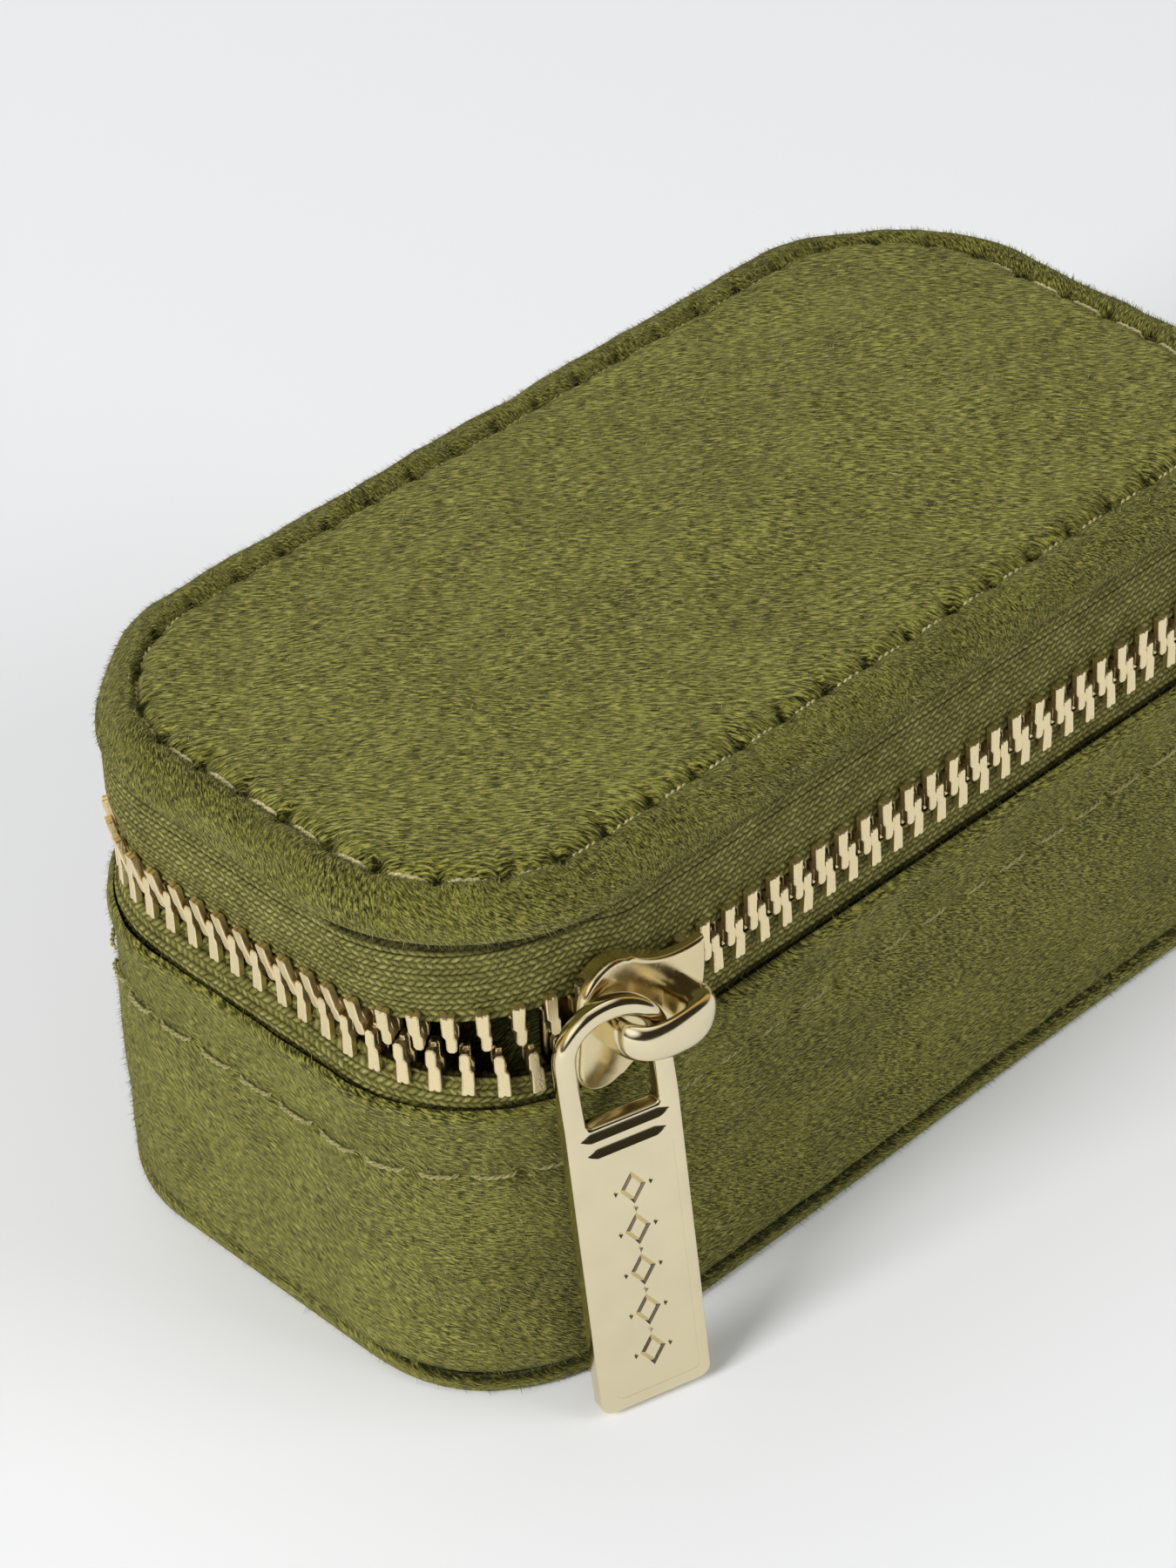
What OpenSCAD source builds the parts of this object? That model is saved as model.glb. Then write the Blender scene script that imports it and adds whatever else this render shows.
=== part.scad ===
// Small zip-around travel case for jewellery: a velour-covered base and lid,
// joined by a fabric hinge along the back and a metal zip round the other three sides.
// Millimetres. +Z is up, the origin is the middle of the underside, +X runs along the case,
// and the long side with the zip slider faces -Y.

/* [Case] */
// Length of the case
case_len = 107; // [104:1:112]
// Width of the case, front to back
case_wid = 55; // [53:1:58]
// Corner radius of the base in plan
base_corner_r = 16.4; // [16:0.1:17]
// Corner radius of the lid in plan
lid_corner_r = 18.4; // [18:0.1:19]
// Height of the lid's rolled rim
case_ht = 51.8; // [51.5:0.1:53]

/* [Zip] */
// Height of the middle of the zip chain
chain_z = 36.3; // [36:0.1:36.6]
// Distance between the teeth of one row
tooth_pitch = 2.7; // [2.6:0.05:2.9]
// Most that each row lifts away from the chain's middle where the zip is open
open_gap = 2.1; // [0.5:0.1:2.2]
// Place of the slider along the front at rest
slider_x = -34.1; // [-34.1:0.5:-20]

/* [Pull tab] */
// Length of the pull tab
pull_len = 41; // [30:1:41]
// Width of the pull tab
pull_wid = 9.5; // [9:0.1:9.8]
// Thickness of the pull tab
pull_thk = 1.5; // [1.3:0.1:1.5]

/* [Inside] */
// Number of ring rolls
roll_count = 5; // [3:1:5]
// Radius of a ring roll
roll_r = 4.7; // [3.5:0.1:4.7]

/* [Hidden] */

velour = "#6b6a2f";
velour_dark = "#55542a";
thread = "#a8a27a";
board = "#9b8f7a";
foam = "#d9d4c2";
gold = "#d8c58c";
brass = "#a8863c";

half_len = case_len / 2;
half_wid = case_wid / 2;
gap = 0.1;          // working gap between neighbouring pieces
eps = 0.01;

// Insets of each layer from the outline, from the outside inwards
cover_in = 0.35;
cover_thk = 1;
tape_in = 1.5;
tape_thk = 0.6;
board_in = 2.2;
board_thk = 1.5;
lining_in = 3.8;
lining_thk = 0.7;
inner_in = lining_in + lining_thk;

// Heights in the base
skin_thk = 0.9;     // covering material under the bottom board
seam_z = 1.9;       // seam between the bottom panel and the wall cover
floor_z = 2.6;      // top of the bottom board
base_cover_z = 28.2;
base_board_z = 30.2;
base_lining_z = 30.4;
roll_edge_r = 0.72; // rolled top edge of the base cover
roll_edge_z = 29.05;
base_stitch_z = 23.2;
tape_low_z = 24;    // lower edge of the lower tape, under the cover

// Heights in the lid
rim_r = 4;
rim_z = case_ht - rim_r;       // where the rolled rim starts
rim_inner = 3.5;               // inset at which the rim dips into the stitched valley
top_board_z = rim_z - 1.6;
top_board_thk = 1.5;
lid_wall_z = 42.2;
lid_lining_z = 42;
pad_top_z = rim_z + 2.9;
cover_top_z = pad_top_z + 0.95;
valley_inset = 4;
lid_stitch_z = pad_top_z + 0.2;

// Zip
tape_edge = 1.6;    // tape edge to the chain's middle
tooth_in = 1.6;     // inset of the tooth's middle
tooth_thk = 2.2;
tooth_wid = 1.2;
tooth_head = 1.2;   // reach past the chain's middle
tooth_leg = 2.95;
row_margin = 3.4;   // bare tape before the first tooth
fold_half = 1.4;    // half the height of the fold in the back strip

// Slider, in its own directions: u along the zip, v up
slider_back_u = -7.1;
slider_z = chain_z + 0.15;
shoulder_v = 6.2;
shoulder_r = 3.25;
waist_v = 3.85;      // half the width at the waist, just behind the nose
taper_u = 4.4;       // place of the waist
taper_r = 11;
taper_nose_a = -74;
taper_end_a = -125;
plate_out = -half_wid - 0.9;       // front face of the front plate
plate_thk = 0.95;
back_plate_out = -half_wid + 3.5;  // front face of the back plate
back_plate_thk = 0.7;
back_plate_v = 5.35;
crown_wid = 4.8;
crown_thk = 1;
crown_gap = 4.15;
crown_left_u = -4.3;
crown_right_u = 5.2;

// Pull tab, hanging through the crown
pull_top = [-39.6, -30.25, 41.4];
pull_turn = -14;
pull_lean = 5.3;
pull_roll = 2;
window_wid = 5.8;
window_top = 1.8;
window_end = 12.6;
window_corner = 1.2;

// Inside
cavity_r = base_corner_r - inner_in - 0.3;
divider_x = 4.6;
divider_thk = 1.5;
divider_z = 24;
pad_z = floor_z + lining_thk + 2 * gap;
block_z = 13.8;

// One corner's centre for a plan radius
function corner_x(r) = half_len - r;
function corner_y(r) = half_wid - r;

// Plan outline, inset all round
module outline(inset, r) {
    len = case_len - 2 * inset;
    wid = case_wid - 2 * inset;
    cr = r - inset;
    square([len - 2 * cr, wid], center = true);
    square([len, wid - 2 * cr], center = true);
    for (sx = [-1, 1], sy = [-1, 1])
        translate([sx * (len / 2 - cr), sy * (wid / 2 - cr)]) circle(r = cr, $fn = 96);
}

module plate(inset, z0, z1, r) {
    translate([0, 0, z0]) linear_extrude(z1 - z0) outline(inset, r);
}

module wall(inset, thk, z0, z1, r) {
    difference() {
        plate(inset, z0, z1, r);
        plate(inset + thk, z0 - 1, z1 + 1, r);
    }
}

// Cuts away the straight length of the back, where the hinge takes over from the zip
module open_back(r) {
    difference() {
        children();
        translate([-corner_x(r), corner_y(r) - eps, -1]) cube([2 * corner_x(r), 40, 80]);
    }
}

// Sweeps a profile round the outline: its x is the reach from the corner centres, its y the height
module sweep_side(i, r) {
    off = i % 2 == 0 ? corner_x(r) : corner_y(r);
    half = i % 2 == 0 ? corner_y(r) : corner_x(r);
    rotate([0, 0, 90 * i]) translate([off, half, 0]) rotate([90, 0, 0])
        linear_extrude(2 * half) children();
}

module sweep_corner(i, r) {
    translate([i == 0 || i == 3 ? corner_x(r) : -corner_x(r), i < 2 ? corner_y(r) : -corner_y(r), 0])
        rotate([0, 0, 90 * i]) rotate_extrude(angle = 90, $fn = 96) children();
}

// Path round the case at a given reach, from the back left corner by the left, the front
// and the right to the back right corner, and then along the back: [x, y, outward angle]
function arc_len(reach) = PI / 2 * reach;
function arc_point(x, y, reach, a) = [x + reach * cos(a), y + reach * sin(a), a];
function path_point(s, r, reach) =
    let (a = arc_len(reach), side = 2 * corner_y(r), front = 2 * corner_x(r),
         cx = corner_x(r), cy = corner_y(r))
    s < a ? arc_point(-cx, cy, reach, 90 + 90 * s / a)
    : s < a + side ? [-cx - reach, cy - (s - a), 180]
    : s < 2 * a + side ? arc_point(-cx, -cy, reach, 180 + 90 * (s - a - side) / a)
    : s < 2 * a + side + front ? [-cx + s - 2 * a - side, -cy - reach, 270]
    : s < 3 * a + side + front ? arc_point(cx, -cy, reach, 270 + 90 * (s - 2 * a - side - front) / a)
    : s < 3 * a + 2 * side + front ? [cx + reach, -cy + s - 3 * a - side - front, 0]
    : s < 4 * a + 2 * side + front ? arc_point(cx, cy, reach, 90 * (s - 3 * a - 2 * side - front) / a)
    : [cx - (s - 4 * a - 2 * side - front), cy + reach, 90];
function zip_len(r, reach) = 4 * arc_len(reach) + 4 * corner_y(r) + 2 * corner_x(r);
function ring_len(r, reach) = zip_len(r, reach) + 2 * corner_x(r);

module on_path(s, r, reach) {
    p = path_point(s, r, reach);
    translate([p[0], p[1], 0]) rotate([0, 0, p[2]]) children();
}

// ---- Base ----

module bottom_cover() color(velour_dark) {
    plate(0.55, 0, skin_thk, base_corner_r);
    wall(0.55, 0.8, skin_thk - eps, seam_z, base_corner_r);
}

module bottom_board() color(board)
    plate(tape_in, skin_thk + gap, floor_z - gap, base_corner_r);

module base_wall_board() color(board)
    wall(board_in, board_thk, floor_z, base_board_z, base_corner_r);

module base_cover() color(velour)
    wall(cover_in, cover_thk, seam_z + gap, base_cover_z, base_corner_r);

module base_edge_roll() color(velour) {
    for (i = [0, 2, 3]) sweep_side(i, base_corner_r) edge_profile();
    for (i = [0:3]) sweep_corner(i, base_corner_r) edge_profile();
}

module edge_profile()
    translate([base_corner_r - roll_edge_r - 0.03, roll_edge_z]) circle(r = roll_edge_r, $fn = 32);

module base_stitching() color(thread)
    stitch_row(base_corner_r, base_corner_r - 0.18, 0.15, base_stitch_z);

// Stitches lie along the path, with the thread out of sight between them
module stitch_row(r, reach, thread_r, z) {
    count = round(ring_len(r, reach) / 5);
    pitch = ring_len(r, reach) / count;
    for (k = [0:count - 1]) on_path((k + 0.5) * pitch, r, reach)
        translate([0, 0, z]) rotate([90, 0, 0])
            cylinder(h = 3.4, r = thread_r, center = true, $fn = 16);
}

module base_lining() color(velour_dark) difference() {
    plate(lining_in, floor_z, base_lining_z, base_corner_r);
    plate(inner_in, floor_z + lining_thk, base_lining_z + 1, base_corner_r);
}

module floor_pad() color(velour_dark) intersection() {
    plate(inner_in + 0.3, pad_z, pad_z + 1.6, base_corner_r);
    translate([divider_x + divider_thk, -50, 0]) cube([100, 100, 50]);
}

module ring_block() color(foam) intersection() {
    plate(inner_in + 0.5, pad_z, block_z, base_corner_r);
    translate([divider_x - gap * 3 - 100, -50, 0]) cube([100, 100, 50]);
}

// A roll is as long as the rounded cavity allows at its place
function roll_x(k) = divider_x - 1.6 - roll_r - (roll_count - k) * (2 * roll_r + 0.4);
function roll_half(x) =
    let (dx = max(0, abs(x) + roll_r - corner_x(base_corner_r)))
    corner_y(base_corner_r) + sqrt(cavity_r * cavity_r - dx * dx) - 0.3;

module ring_roll(k) color(velour_dark)
    translate([roll_x(k), 0, block_z + roll_r + gap]) rotate([90, 0, 0])
        cylinder(h = 2 * roll_half(roll_x(k)), r = roll_r, center = true, $fn = 64);

module divider_cross() color(velour_dark) intersection() {
    plate(inner_in + 0.2, pad_z, divider_z, base_corner_r);
    translate([divider_x, -50, 0]) cube([divider_thk - gap, 100, 50]);
}

module divider_long() color(velour_dark) intersection() {
    plate(inner_in + 0.2, pad_z + 1.7, divider_z, base_corner_r);
    translate([divider_x + divider_thk, -divider_thk / 2, 0]) cube([100, divider_thk, 50]);
}

// ---- Zip ----

module zip_tape_lower() color(velour) open_back(base_corner_r)
    wall(tape_in, tape_thk, tape_low_z, chain_z - tape_edge, base_corner_r);

module zip_tape_upper() color(velour) open_back(base_corner_r)
    wall(tape_in, tape_thk, chain_z + tape_edge, rim_z - 0.2, base_corner_r);

tooth_reach = base_corner_r - tooth_in;
slider_s = 2 * arc_len(tooth_reach) + 2 * corner_y(base_corner_r)
    + slider_x + corner_x(base_corner_r);

// How far a row stands off the chain's middle: closed past the slider's nose, widest at its
// mouth, and closing again towards the far end of the zip
function smooth(t) = let (c = min(1, max(0, t))) c * c * (3 - 2 * c);
function row_lift(s) =
    open_gap * smooth((slider_s + 1.5 - s) / 8)
    * (0.2 + 0.8 * min(1, max(0, (s - 18) / (slider_s - 25))));

module teeth(side) {
    len = zip_len(base_corner_r, tooth_reach);
    count = floor((len - 2 * row_margin) / tooth_pitch);
    first = (len - count * tooth_pitch) / 2 + (side > 0 ? 0 : tooth_pitch / 2);
    for (k = [0:count - 1]) {
        s = first + k * tooth_pitch;
        z = chain_z + side * (row_lift(s) + (tooth_leg - tooth_head) / 2);
        on_path(s, base_corner_r, tooth_reach) translate([0, 0, z])
            cube([tooth_thk, tooth_wid, tooth_leg + tooth_head], center = true);
    }
}

module zip_teeth_lower() color(brass) teeth(-1);

module zip_teeth_upper() color(brass) teeth(1);

module zip_end_stops() color(brass)
    for (s = [1.4, zip_len(base_corner_r, tooth_reach) - 1.4])
        on_path(s, base_corner_r, tooth_reach) translate([0, 0, chain_z - 1.8])
            cube([2.4, 1.2, 4], center = true);

// ---- Fabric hinge ----

// The outer strip is one length of velour: a part fixed to each half, and the fold between
module back_strip(inset, thk, z0, z1)
    translate([-corner_x(base_corner_r), half_wid - inset - thk, z0])
        cube([2 * corner_x(base_corner_r), thk, z1 - z0]);

module back_strip_lower() color(velour)
    back_strip(cover_in, cover_thk, base_cover_z + gap, chain_z - fold_half);

module back_strip_fold() color(velour)
    back_strip(cover_in, cover_thk, chain_z - fold_half + gap, chain_z + fold_half - gap);

module back_strip_upper() color(velour)
    back_strip(cover_in, cover_thk, chain_z + fold_half, rim_z - 2 * gap);

module hinge_lining() color(velour_dark)
    back_strip(lining_in, lining_thk, base_lining_z + gap, lid_lining_z - gap);

// ---- Lid ----

module lid_wall_board() color(board)
    wall(board_in, board_thk, lid_wall_z, top_board_z - gap, base_corner_r);

module lid_top_board() color(board)
    plate(board_in, top_board_z, top_board_z + top_board_thk, base_corner_r);

module lid_padding() color(foam)
    plate(rim_inner + 0.2, rim_z, pad_top_z, lid_corner_r);

module lid_cover() color(velour)
    plate(valley_inset + 0.5, pad_top_z + gap, cover_top_z, lid_corner_r);

module lid_rim() color(velour) {
    for (i = [0:3]) {
        sweep_side(i, lid_corner_r) rim_profile();
        sweep_corner(i, lid_corner_r) rim_profile();
    }
}

module rim_profile() intersection() {
    translate([lid_corner_r - rim_r - 0.2, rim_z]) circle(r = rim_r, $fn = 64);
    translate([lid_corner_r - rim_inner, rim_z]) square([rim_r, rim_r]);
}

module lid_stitching() color(thread)
    stitch_row(lid_corner_r, lid_corner_r - valley_inset, 0.17, lid_stitch_z);

module lid_lining() color(velour_dark) difference() {
    plate(lining_in, lid_lining_z, top_board_z - gap, base_corner_r);
    plate(inner_in, lid_lining_z - 1, top_board_z - gap - lining_thk, base_corner_r);
}

// ---- Slider ----

// Stands a drawing of u and v against the front, from one depth to another
module slider_slab(y0, y1)
    translate([slider_x, y1, slider_z]) rotate([90, 0, 0]) linear_extrude(y1 - y0) children();

// Upper half of the plate's outline: a hollow taper from the nose to a round shoulder
function slider_half() = concat(
    [for (k = [0:6]) let (a = taper_nose_a + (taper_end_a - taper_nose_a) * k / 6)
        [taper_u + taper_r * cos(a), waist_v + taper_r + taper_r * sin(a)]],
    [for (k = [0:8]) let (a = 62 + 118 * k / 8)
        [slider_back_u + shoulder_r * (1 + cos(a)), shoulder_v - shoulder_r + shoulder_r * sin(a)]]
);

module slider_outline() let (top = slider_half())
    polygon(concat(top, [for (i = [len(top) - 1:-1:0]) [top[i][0], -top[i][1]]]));

module slider_channel() polygon([
    [9, 3.3], [1.5, 3.3], [-8.5, 6], [-8.5, -6], [1.5, -3.3], [9, -3.3]
]);

module slider_wedge()
    polygon([[-6.9, 0.45], [-5.4, 0.4], [-3.9, 0.1], [-3.9, -0.1], [-5.4, -0.4], [-6.9, -0.45]]);

module slider_body() color(gold) difference() {
    slider_slab(plate_out, back_plate_out + back_plate_thk) slider_outline();
    slider_slab(plate_out + plate_thk, back_plate_out) difference() {
        slider_channel();
        slider_wedge();
    }
    slider_slab(-half_wid + tape_in - 0.5, -half_wid + tape_in + tape_thk + 0.7) difference() {
        square([30, 30], center = true);
        slider_wedge();
    }
    for (s = [-1, 1]) slider_slab(-half_wid + tape_in, -half_wid + 6)
        translate([0, s * (back_plate_v + 5)]) square([30, 10], center = true);
}

// The crown bridges the front plate from near its nose to its open end
module crown_arch(grow) {
    left = crown_left_u - grow;
    right = crown_right_u + grow;
    r = 1.6 + grow;
    top = crown_gap + grow;
    translate([left, 0]) square([right - left, top - r]);
    translate([left + r, 0]) square([right - left - 2 * r, top]);
    for (u = [left + r, right - r]) translate([u, top - r]) circle(r = r, $fn = 48);
}

module slider_crown() color(gold)
    translate([slider_x, plate_out, slider_z - crown_wid / 2]) mirror([0, 1, 0])
        linear_extrude(crown_wid) intersection() {
            difference() {
                crown_arch(crown_thk);
                crown_arch(0);
            }
            translate([-20, 0]) square([40, 20]);
        }

// ---- Pull tab ----

// Drawn flat: width along x, length down y, thickness along z with the front face at 0
module pull_tab() color(gold)
    translate(pull_top) rotate([0, 0, pull_turn]) rotate([-pull_lean, 0, 0])
        rotate([0, -pull_roll, 0]) rotate([90, 0, 0]) pull_flat();

module pull_flat() translate([0, 0, -pull_thk]) difference() {
    linear_extrude(pull_thk) difference() {
        pull_outline();
        pull_window();
    }
    for (g = [[13.9, 3.6], [16.3, 3.2]]) translate([0, -g[0], pull_thk + 0.25]) rotate([0, 90, 0])
        cylinder(h = 2 * g[1], r = 0.7, center = true, $fn = 32);
    for (k = [0:3]) translate([0, -21 - 4.4 * k, pull_thk - 0.3])
        rotate([0, 0, 45]) linear_extrude(1) square(1.5, center = true);
}

module pull_outline() {
    half = pull_wid / 2;
    translate([0, -half]) circle(r = half, $fn = 64);
    translate([-half, 1.2 - pull_len]) square([pull_wid, pull_len - 1.2 - half]);
    translate([1.2 - half, -pull_len]) square([pull_wid - 2.4, 2]);
    for (s = [-1, 1]) translate([s * (half - 1.2), 1.2 - pull_len]) circle(r = 1.2, $fn = 32);
}

module pull_window() {
    half = window_wid / 2;
    inner = half - window_corner;
    translate([-half, -window_end]) square([window_wid, window_end - window_top - window_corner]);
    translate([-inner, -window_end]) square([2 * inner, window_end - window_top]);
    for (s = [-1, 1]) translate([s * inner, -window_top - window_corner]) circle(r = window_corner, $fn = 32);
}

bottom_cover();
bottom_board();
base_wall_board();
base_cover();
base_edge_roll();
base_stitching();
base_lining();
floor_pad();
ring_block();
for (k = [1:roll_count]) ring_roll(k);
divider_cross();
divider_long();
zip_tape_lower();
zip_teeth_lower();
zip_end_stops();
back_strip_lower();
back_strip_fold();
back_strip_upper();
hinge_lining();
lid_wall_board();
lid_top_board();
lid_padding();
lid_cover();
lid_rim();
lid_stitching();
lid_lining();
zip_tape_upper();
zip_teeth_upper();
slider_body();
slider_crown();
pull_tab();
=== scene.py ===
"""Travel jewellery case: the looks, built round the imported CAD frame.

Lengths are millimetres, as in the part's source, and turn into metres where a mesh is made.
+Z is up, +X runs along the case, and the long side with the zip slider faces -Y.
"""

import math

import bpy
import numpy as np
from mathutils import Matrix, Vector
from mathutils.geometry import delaunay_2d_cdt


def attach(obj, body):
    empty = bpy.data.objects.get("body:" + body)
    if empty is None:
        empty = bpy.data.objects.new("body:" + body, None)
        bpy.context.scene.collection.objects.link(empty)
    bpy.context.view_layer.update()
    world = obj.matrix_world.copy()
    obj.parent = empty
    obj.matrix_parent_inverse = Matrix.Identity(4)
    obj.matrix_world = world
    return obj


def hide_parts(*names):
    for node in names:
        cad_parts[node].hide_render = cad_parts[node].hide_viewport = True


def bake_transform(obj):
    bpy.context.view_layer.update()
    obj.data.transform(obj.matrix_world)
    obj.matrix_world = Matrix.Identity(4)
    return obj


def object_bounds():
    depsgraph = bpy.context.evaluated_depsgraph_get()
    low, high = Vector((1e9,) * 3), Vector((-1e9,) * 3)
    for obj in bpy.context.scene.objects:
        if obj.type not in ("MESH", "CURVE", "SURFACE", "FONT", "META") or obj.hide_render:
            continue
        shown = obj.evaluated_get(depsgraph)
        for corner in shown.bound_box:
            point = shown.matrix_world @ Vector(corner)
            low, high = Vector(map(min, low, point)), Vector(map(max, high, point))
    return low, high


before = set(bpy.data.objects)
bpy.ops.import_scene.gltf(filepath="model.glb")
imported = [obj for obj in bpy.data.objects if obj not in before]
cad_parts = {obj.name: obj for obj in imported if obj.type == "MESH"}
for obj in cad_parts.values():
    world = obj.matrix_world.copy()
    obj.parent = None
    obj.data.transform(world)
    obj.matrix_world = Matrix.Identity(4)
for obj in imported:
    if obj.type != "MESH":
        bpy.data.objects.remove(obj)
cad_low, cad_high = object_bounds()

MM = 0.001
UV = "pile"  # every piece has this map, in millimetres on the cloth

# ---- Driving dimensions, as in the part's source ----

CASE_LEN, CASE_WID = 107.0, 55.0
BASE_R, LID_R = 16.4, 18.4  # corner radii in plan
CHAIN_Z, TOOTH_PITCH = 36.3, 2.7
OPEN_GAP, SLIDER_X = 2.1, -34.1
TAPE_IN, TAPE_THK, TAPE_EDGE, TOOTH_IN = 1.5, 0.6, 1.6, 1.6
ROW_MARGIN = 3.4  # bare zip at each end of the rows
TAPE_TOP_Z = 47.7
VALLEY_IN, VALLEY_Z = 4.0, 50.85  # the stitched valley between the lid's panel and its rim
BASE_STITCH_Z, STITCH_LEN, STITCH_PITCH = 23.2, 3.3, 5.0
SLIDER_Z = CHAIN_Z + 0.15
PLATE_OUT, BACK_PLATE_OUT = 28.4, 24.0
PULL_TOP = (-39.75, -30.2, 41.4)
PULL_TURN, PULL_LEAN, PULL_ROLL = -17.0, 5.3, 2.0
PULL_LEN, PULL_WID, PULL_THK = 41.0, 10.3, 1.8
DIVIDER_X, DIVIDER_THK, DIVIDER_Z = 4.6, 1.5, 24.0
PAD_Z, BLOCK_Z, ROLL_R, ROLL_COUNT = 3.5, 13.8, 4.7, 5
INNER_IN = 4.5
FOLD_HALF = 1.4  # half the height of the hinge strip's bend
PROFILE_STEPS = 4  # points a stretch of each drawn profile


def ease(t):
    """0 to 1, level at both ends."""
    c = np.clip(t, 0, 1)
    return c * c * (3 - 2 * c)


class Plan:
    """The rounded plan outline, and a path round it from the back left corner by the front."""

    def __init__(self, corner_r, reach):
        self.r = corner_r
        self.cx, self.cy = CASE_LEN / 2 - corner_r, CASE_WID / 2 - corner_r
        self.arc = math.pi / 2 * reach
        self.zip_len = 4 * self.arc + 4 * self.cy + 2 * self.cx
        self.ring_len = self.zip_len + 2 * self.cx

    def steps(self, count):
        """Even lengths along the path, all round."""
        return np.arange(count) * self.ring_len / count

    def at(self, s):
        """Corner-centre rectangle's point and the outward angle at each length along the path."""
        cx, cy, a = self.cx, self.cy, self.arc
        ends = np.cumsum([0.0, a, 2 * cy, a, 2 * cx, a, 2 * cy, a, 2 * cx])
        i = np.clip(np.searchsorted(ends, s, side="right") - 1, 0, 7)
        t = s - ends[i]
        x = cx * np.where(i < 4, -1, 1) + t * ((i == 3) * 1.0 - (i == 7))
        y = cy * np.where((i > 1) & (i < 6), -1, 1) + t * ((i == 5) * 1.0 - (i == 1))
        quarters = 1 + (i + 1) // 2 + (i % 2 == 0) * t / a
        return x, y, quarters * math.pi / 2

    def place(self, s, reach, z):
        """Points at a reach from the corner centres; s has one value a column."""
        x, y, angle = (v[:, None] for v in self.at(s))
        out = [x + reach * np.cos(angle), y + reach * np.sin(angle), z + 0 * x]
        return np.stack(np.broadcast_arrays(*out), -1)

    def back_share(self, s, fade=4.0):
        """1 along the straight length of the back, fading to 0 just before its ends."""
        start, end = ease((s - self.zip_len) / fade + 1), ease((self.ring_len - s) / fade + 1)
        return start * end * (s > self.arc)

    def end_share(self, s):
        """1 round the two ends of the case, 0 along its long sides."""
        return ease(1.4 * np.abs(np.cos(self.at(s)[2])))

    def front_share(self, s):
        """1 along the front, less towards the right, where the panels bulge least."""
        x, _, angle = self.at(s)
        return ease(-1.3 * np.sin(angle)) * (0.25 + 0.75 * ease((24 - x) / 40))

    def inset(self, x, y):
        """Distance inwards from the outline."""
        qx, qy = np.abs(x) - self.cx, np.abs(y) - self.cy
        out = np.hypot(np.maximum(qx, 0), np.maximum(qy, 0)) + np.minimum(np.maximum(qx, qy), 0)
        return self.r - out


base_plan = Plan(BASE_R, BASE_R - TOOTH_IN)
wall_plan = Plan(BASE_R, BASE_R - 0.18)
lid_plan = Plan(LID_R, LID_R - VALLEY_IN)
# The slider's place on the zip's path.
SLIDER_S = 2 * base_plan.arc + 2 * base_plan.cy + SLIDER_X + base_plan.cx


def row_lift(s):
    """How far a row of teeth stands off the chain's middle: open just behind the slider."""
    return OPEN_GAP * ease((SLIDER_S + 1.5 - s) / 8) * np.clip((s - 38) / 28, 0.04, 1)


def sag(s, z):
    """How far the loose zip folds inwards between the lid's edge and the base's, where the tape
    is slack at the left end."""
    slack = 1.2 * ease(s / 10) * (1 - ease((s - 43) / 26))
    return slack * np.clip(np.minimum((41.4 - z) / 5, (z - 31.2) / 2.2), 0, 1)


def lumps(x, y, size, seed):
    """Smooth random relief, about -1 to 1, from waves of one size in random directions."""
    rng = np.random.default_rng(seed)
    total = 0
    for _ in range(9):
        a, phase = rng.uniform(0, math.tau, 2)
        k = math.tau / size * rng.uniform(0.7, 1.4)
        total = total + np.sin(k * (x * math.cos(a) + y * math.sin(a)) + phase)
    return total / 4.2


def curve_through(points, steps=PROFILE_STEPS, closed=False):
    """Catmull-Rom curve through the points, with the same number of steps in each stretch."""
    p = np.asarray(points, float)
    first, last = (p[-1:], p[:2]) if closed else (2 * p[:1] - p[1:2], 2 * p[-1:] - p[-2:-1])
    around = np.vstack([first, p, last])
    t = (np.arange(steps) / steps)[:, None]
    out = []
    for k in range(len(p) if closed else len(p) - 1):
        a, b, c, d = around[k : k + 4]
        cubic = c - a + t * (2 * a - 5 * b + 4 * c - d + t * (3 * (b - c) + d - a))
        out.append(b + 0.5 * t * cubic)
    return np.vstack(out if closed else [*out, p[-1:]])


def squarish(angle, power):
    """Cosine and sine, bent towards a rounded square."""
    return [np.sign(v) * np.abs(v) ** power for v in (np.cos(angle), np.sin(angle))]


def unit(vectors):
    return vectors / np.linalg.norm(vectors, axis=1)[:, None]


def arc(x, y, r, start, end, count):
    a = np.radians(np.linspace(start, end, count))
    return np.column_stack([x + r * np.cos(a), y + r * np.sin(a)])


# ---- Meshes ----


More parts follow.
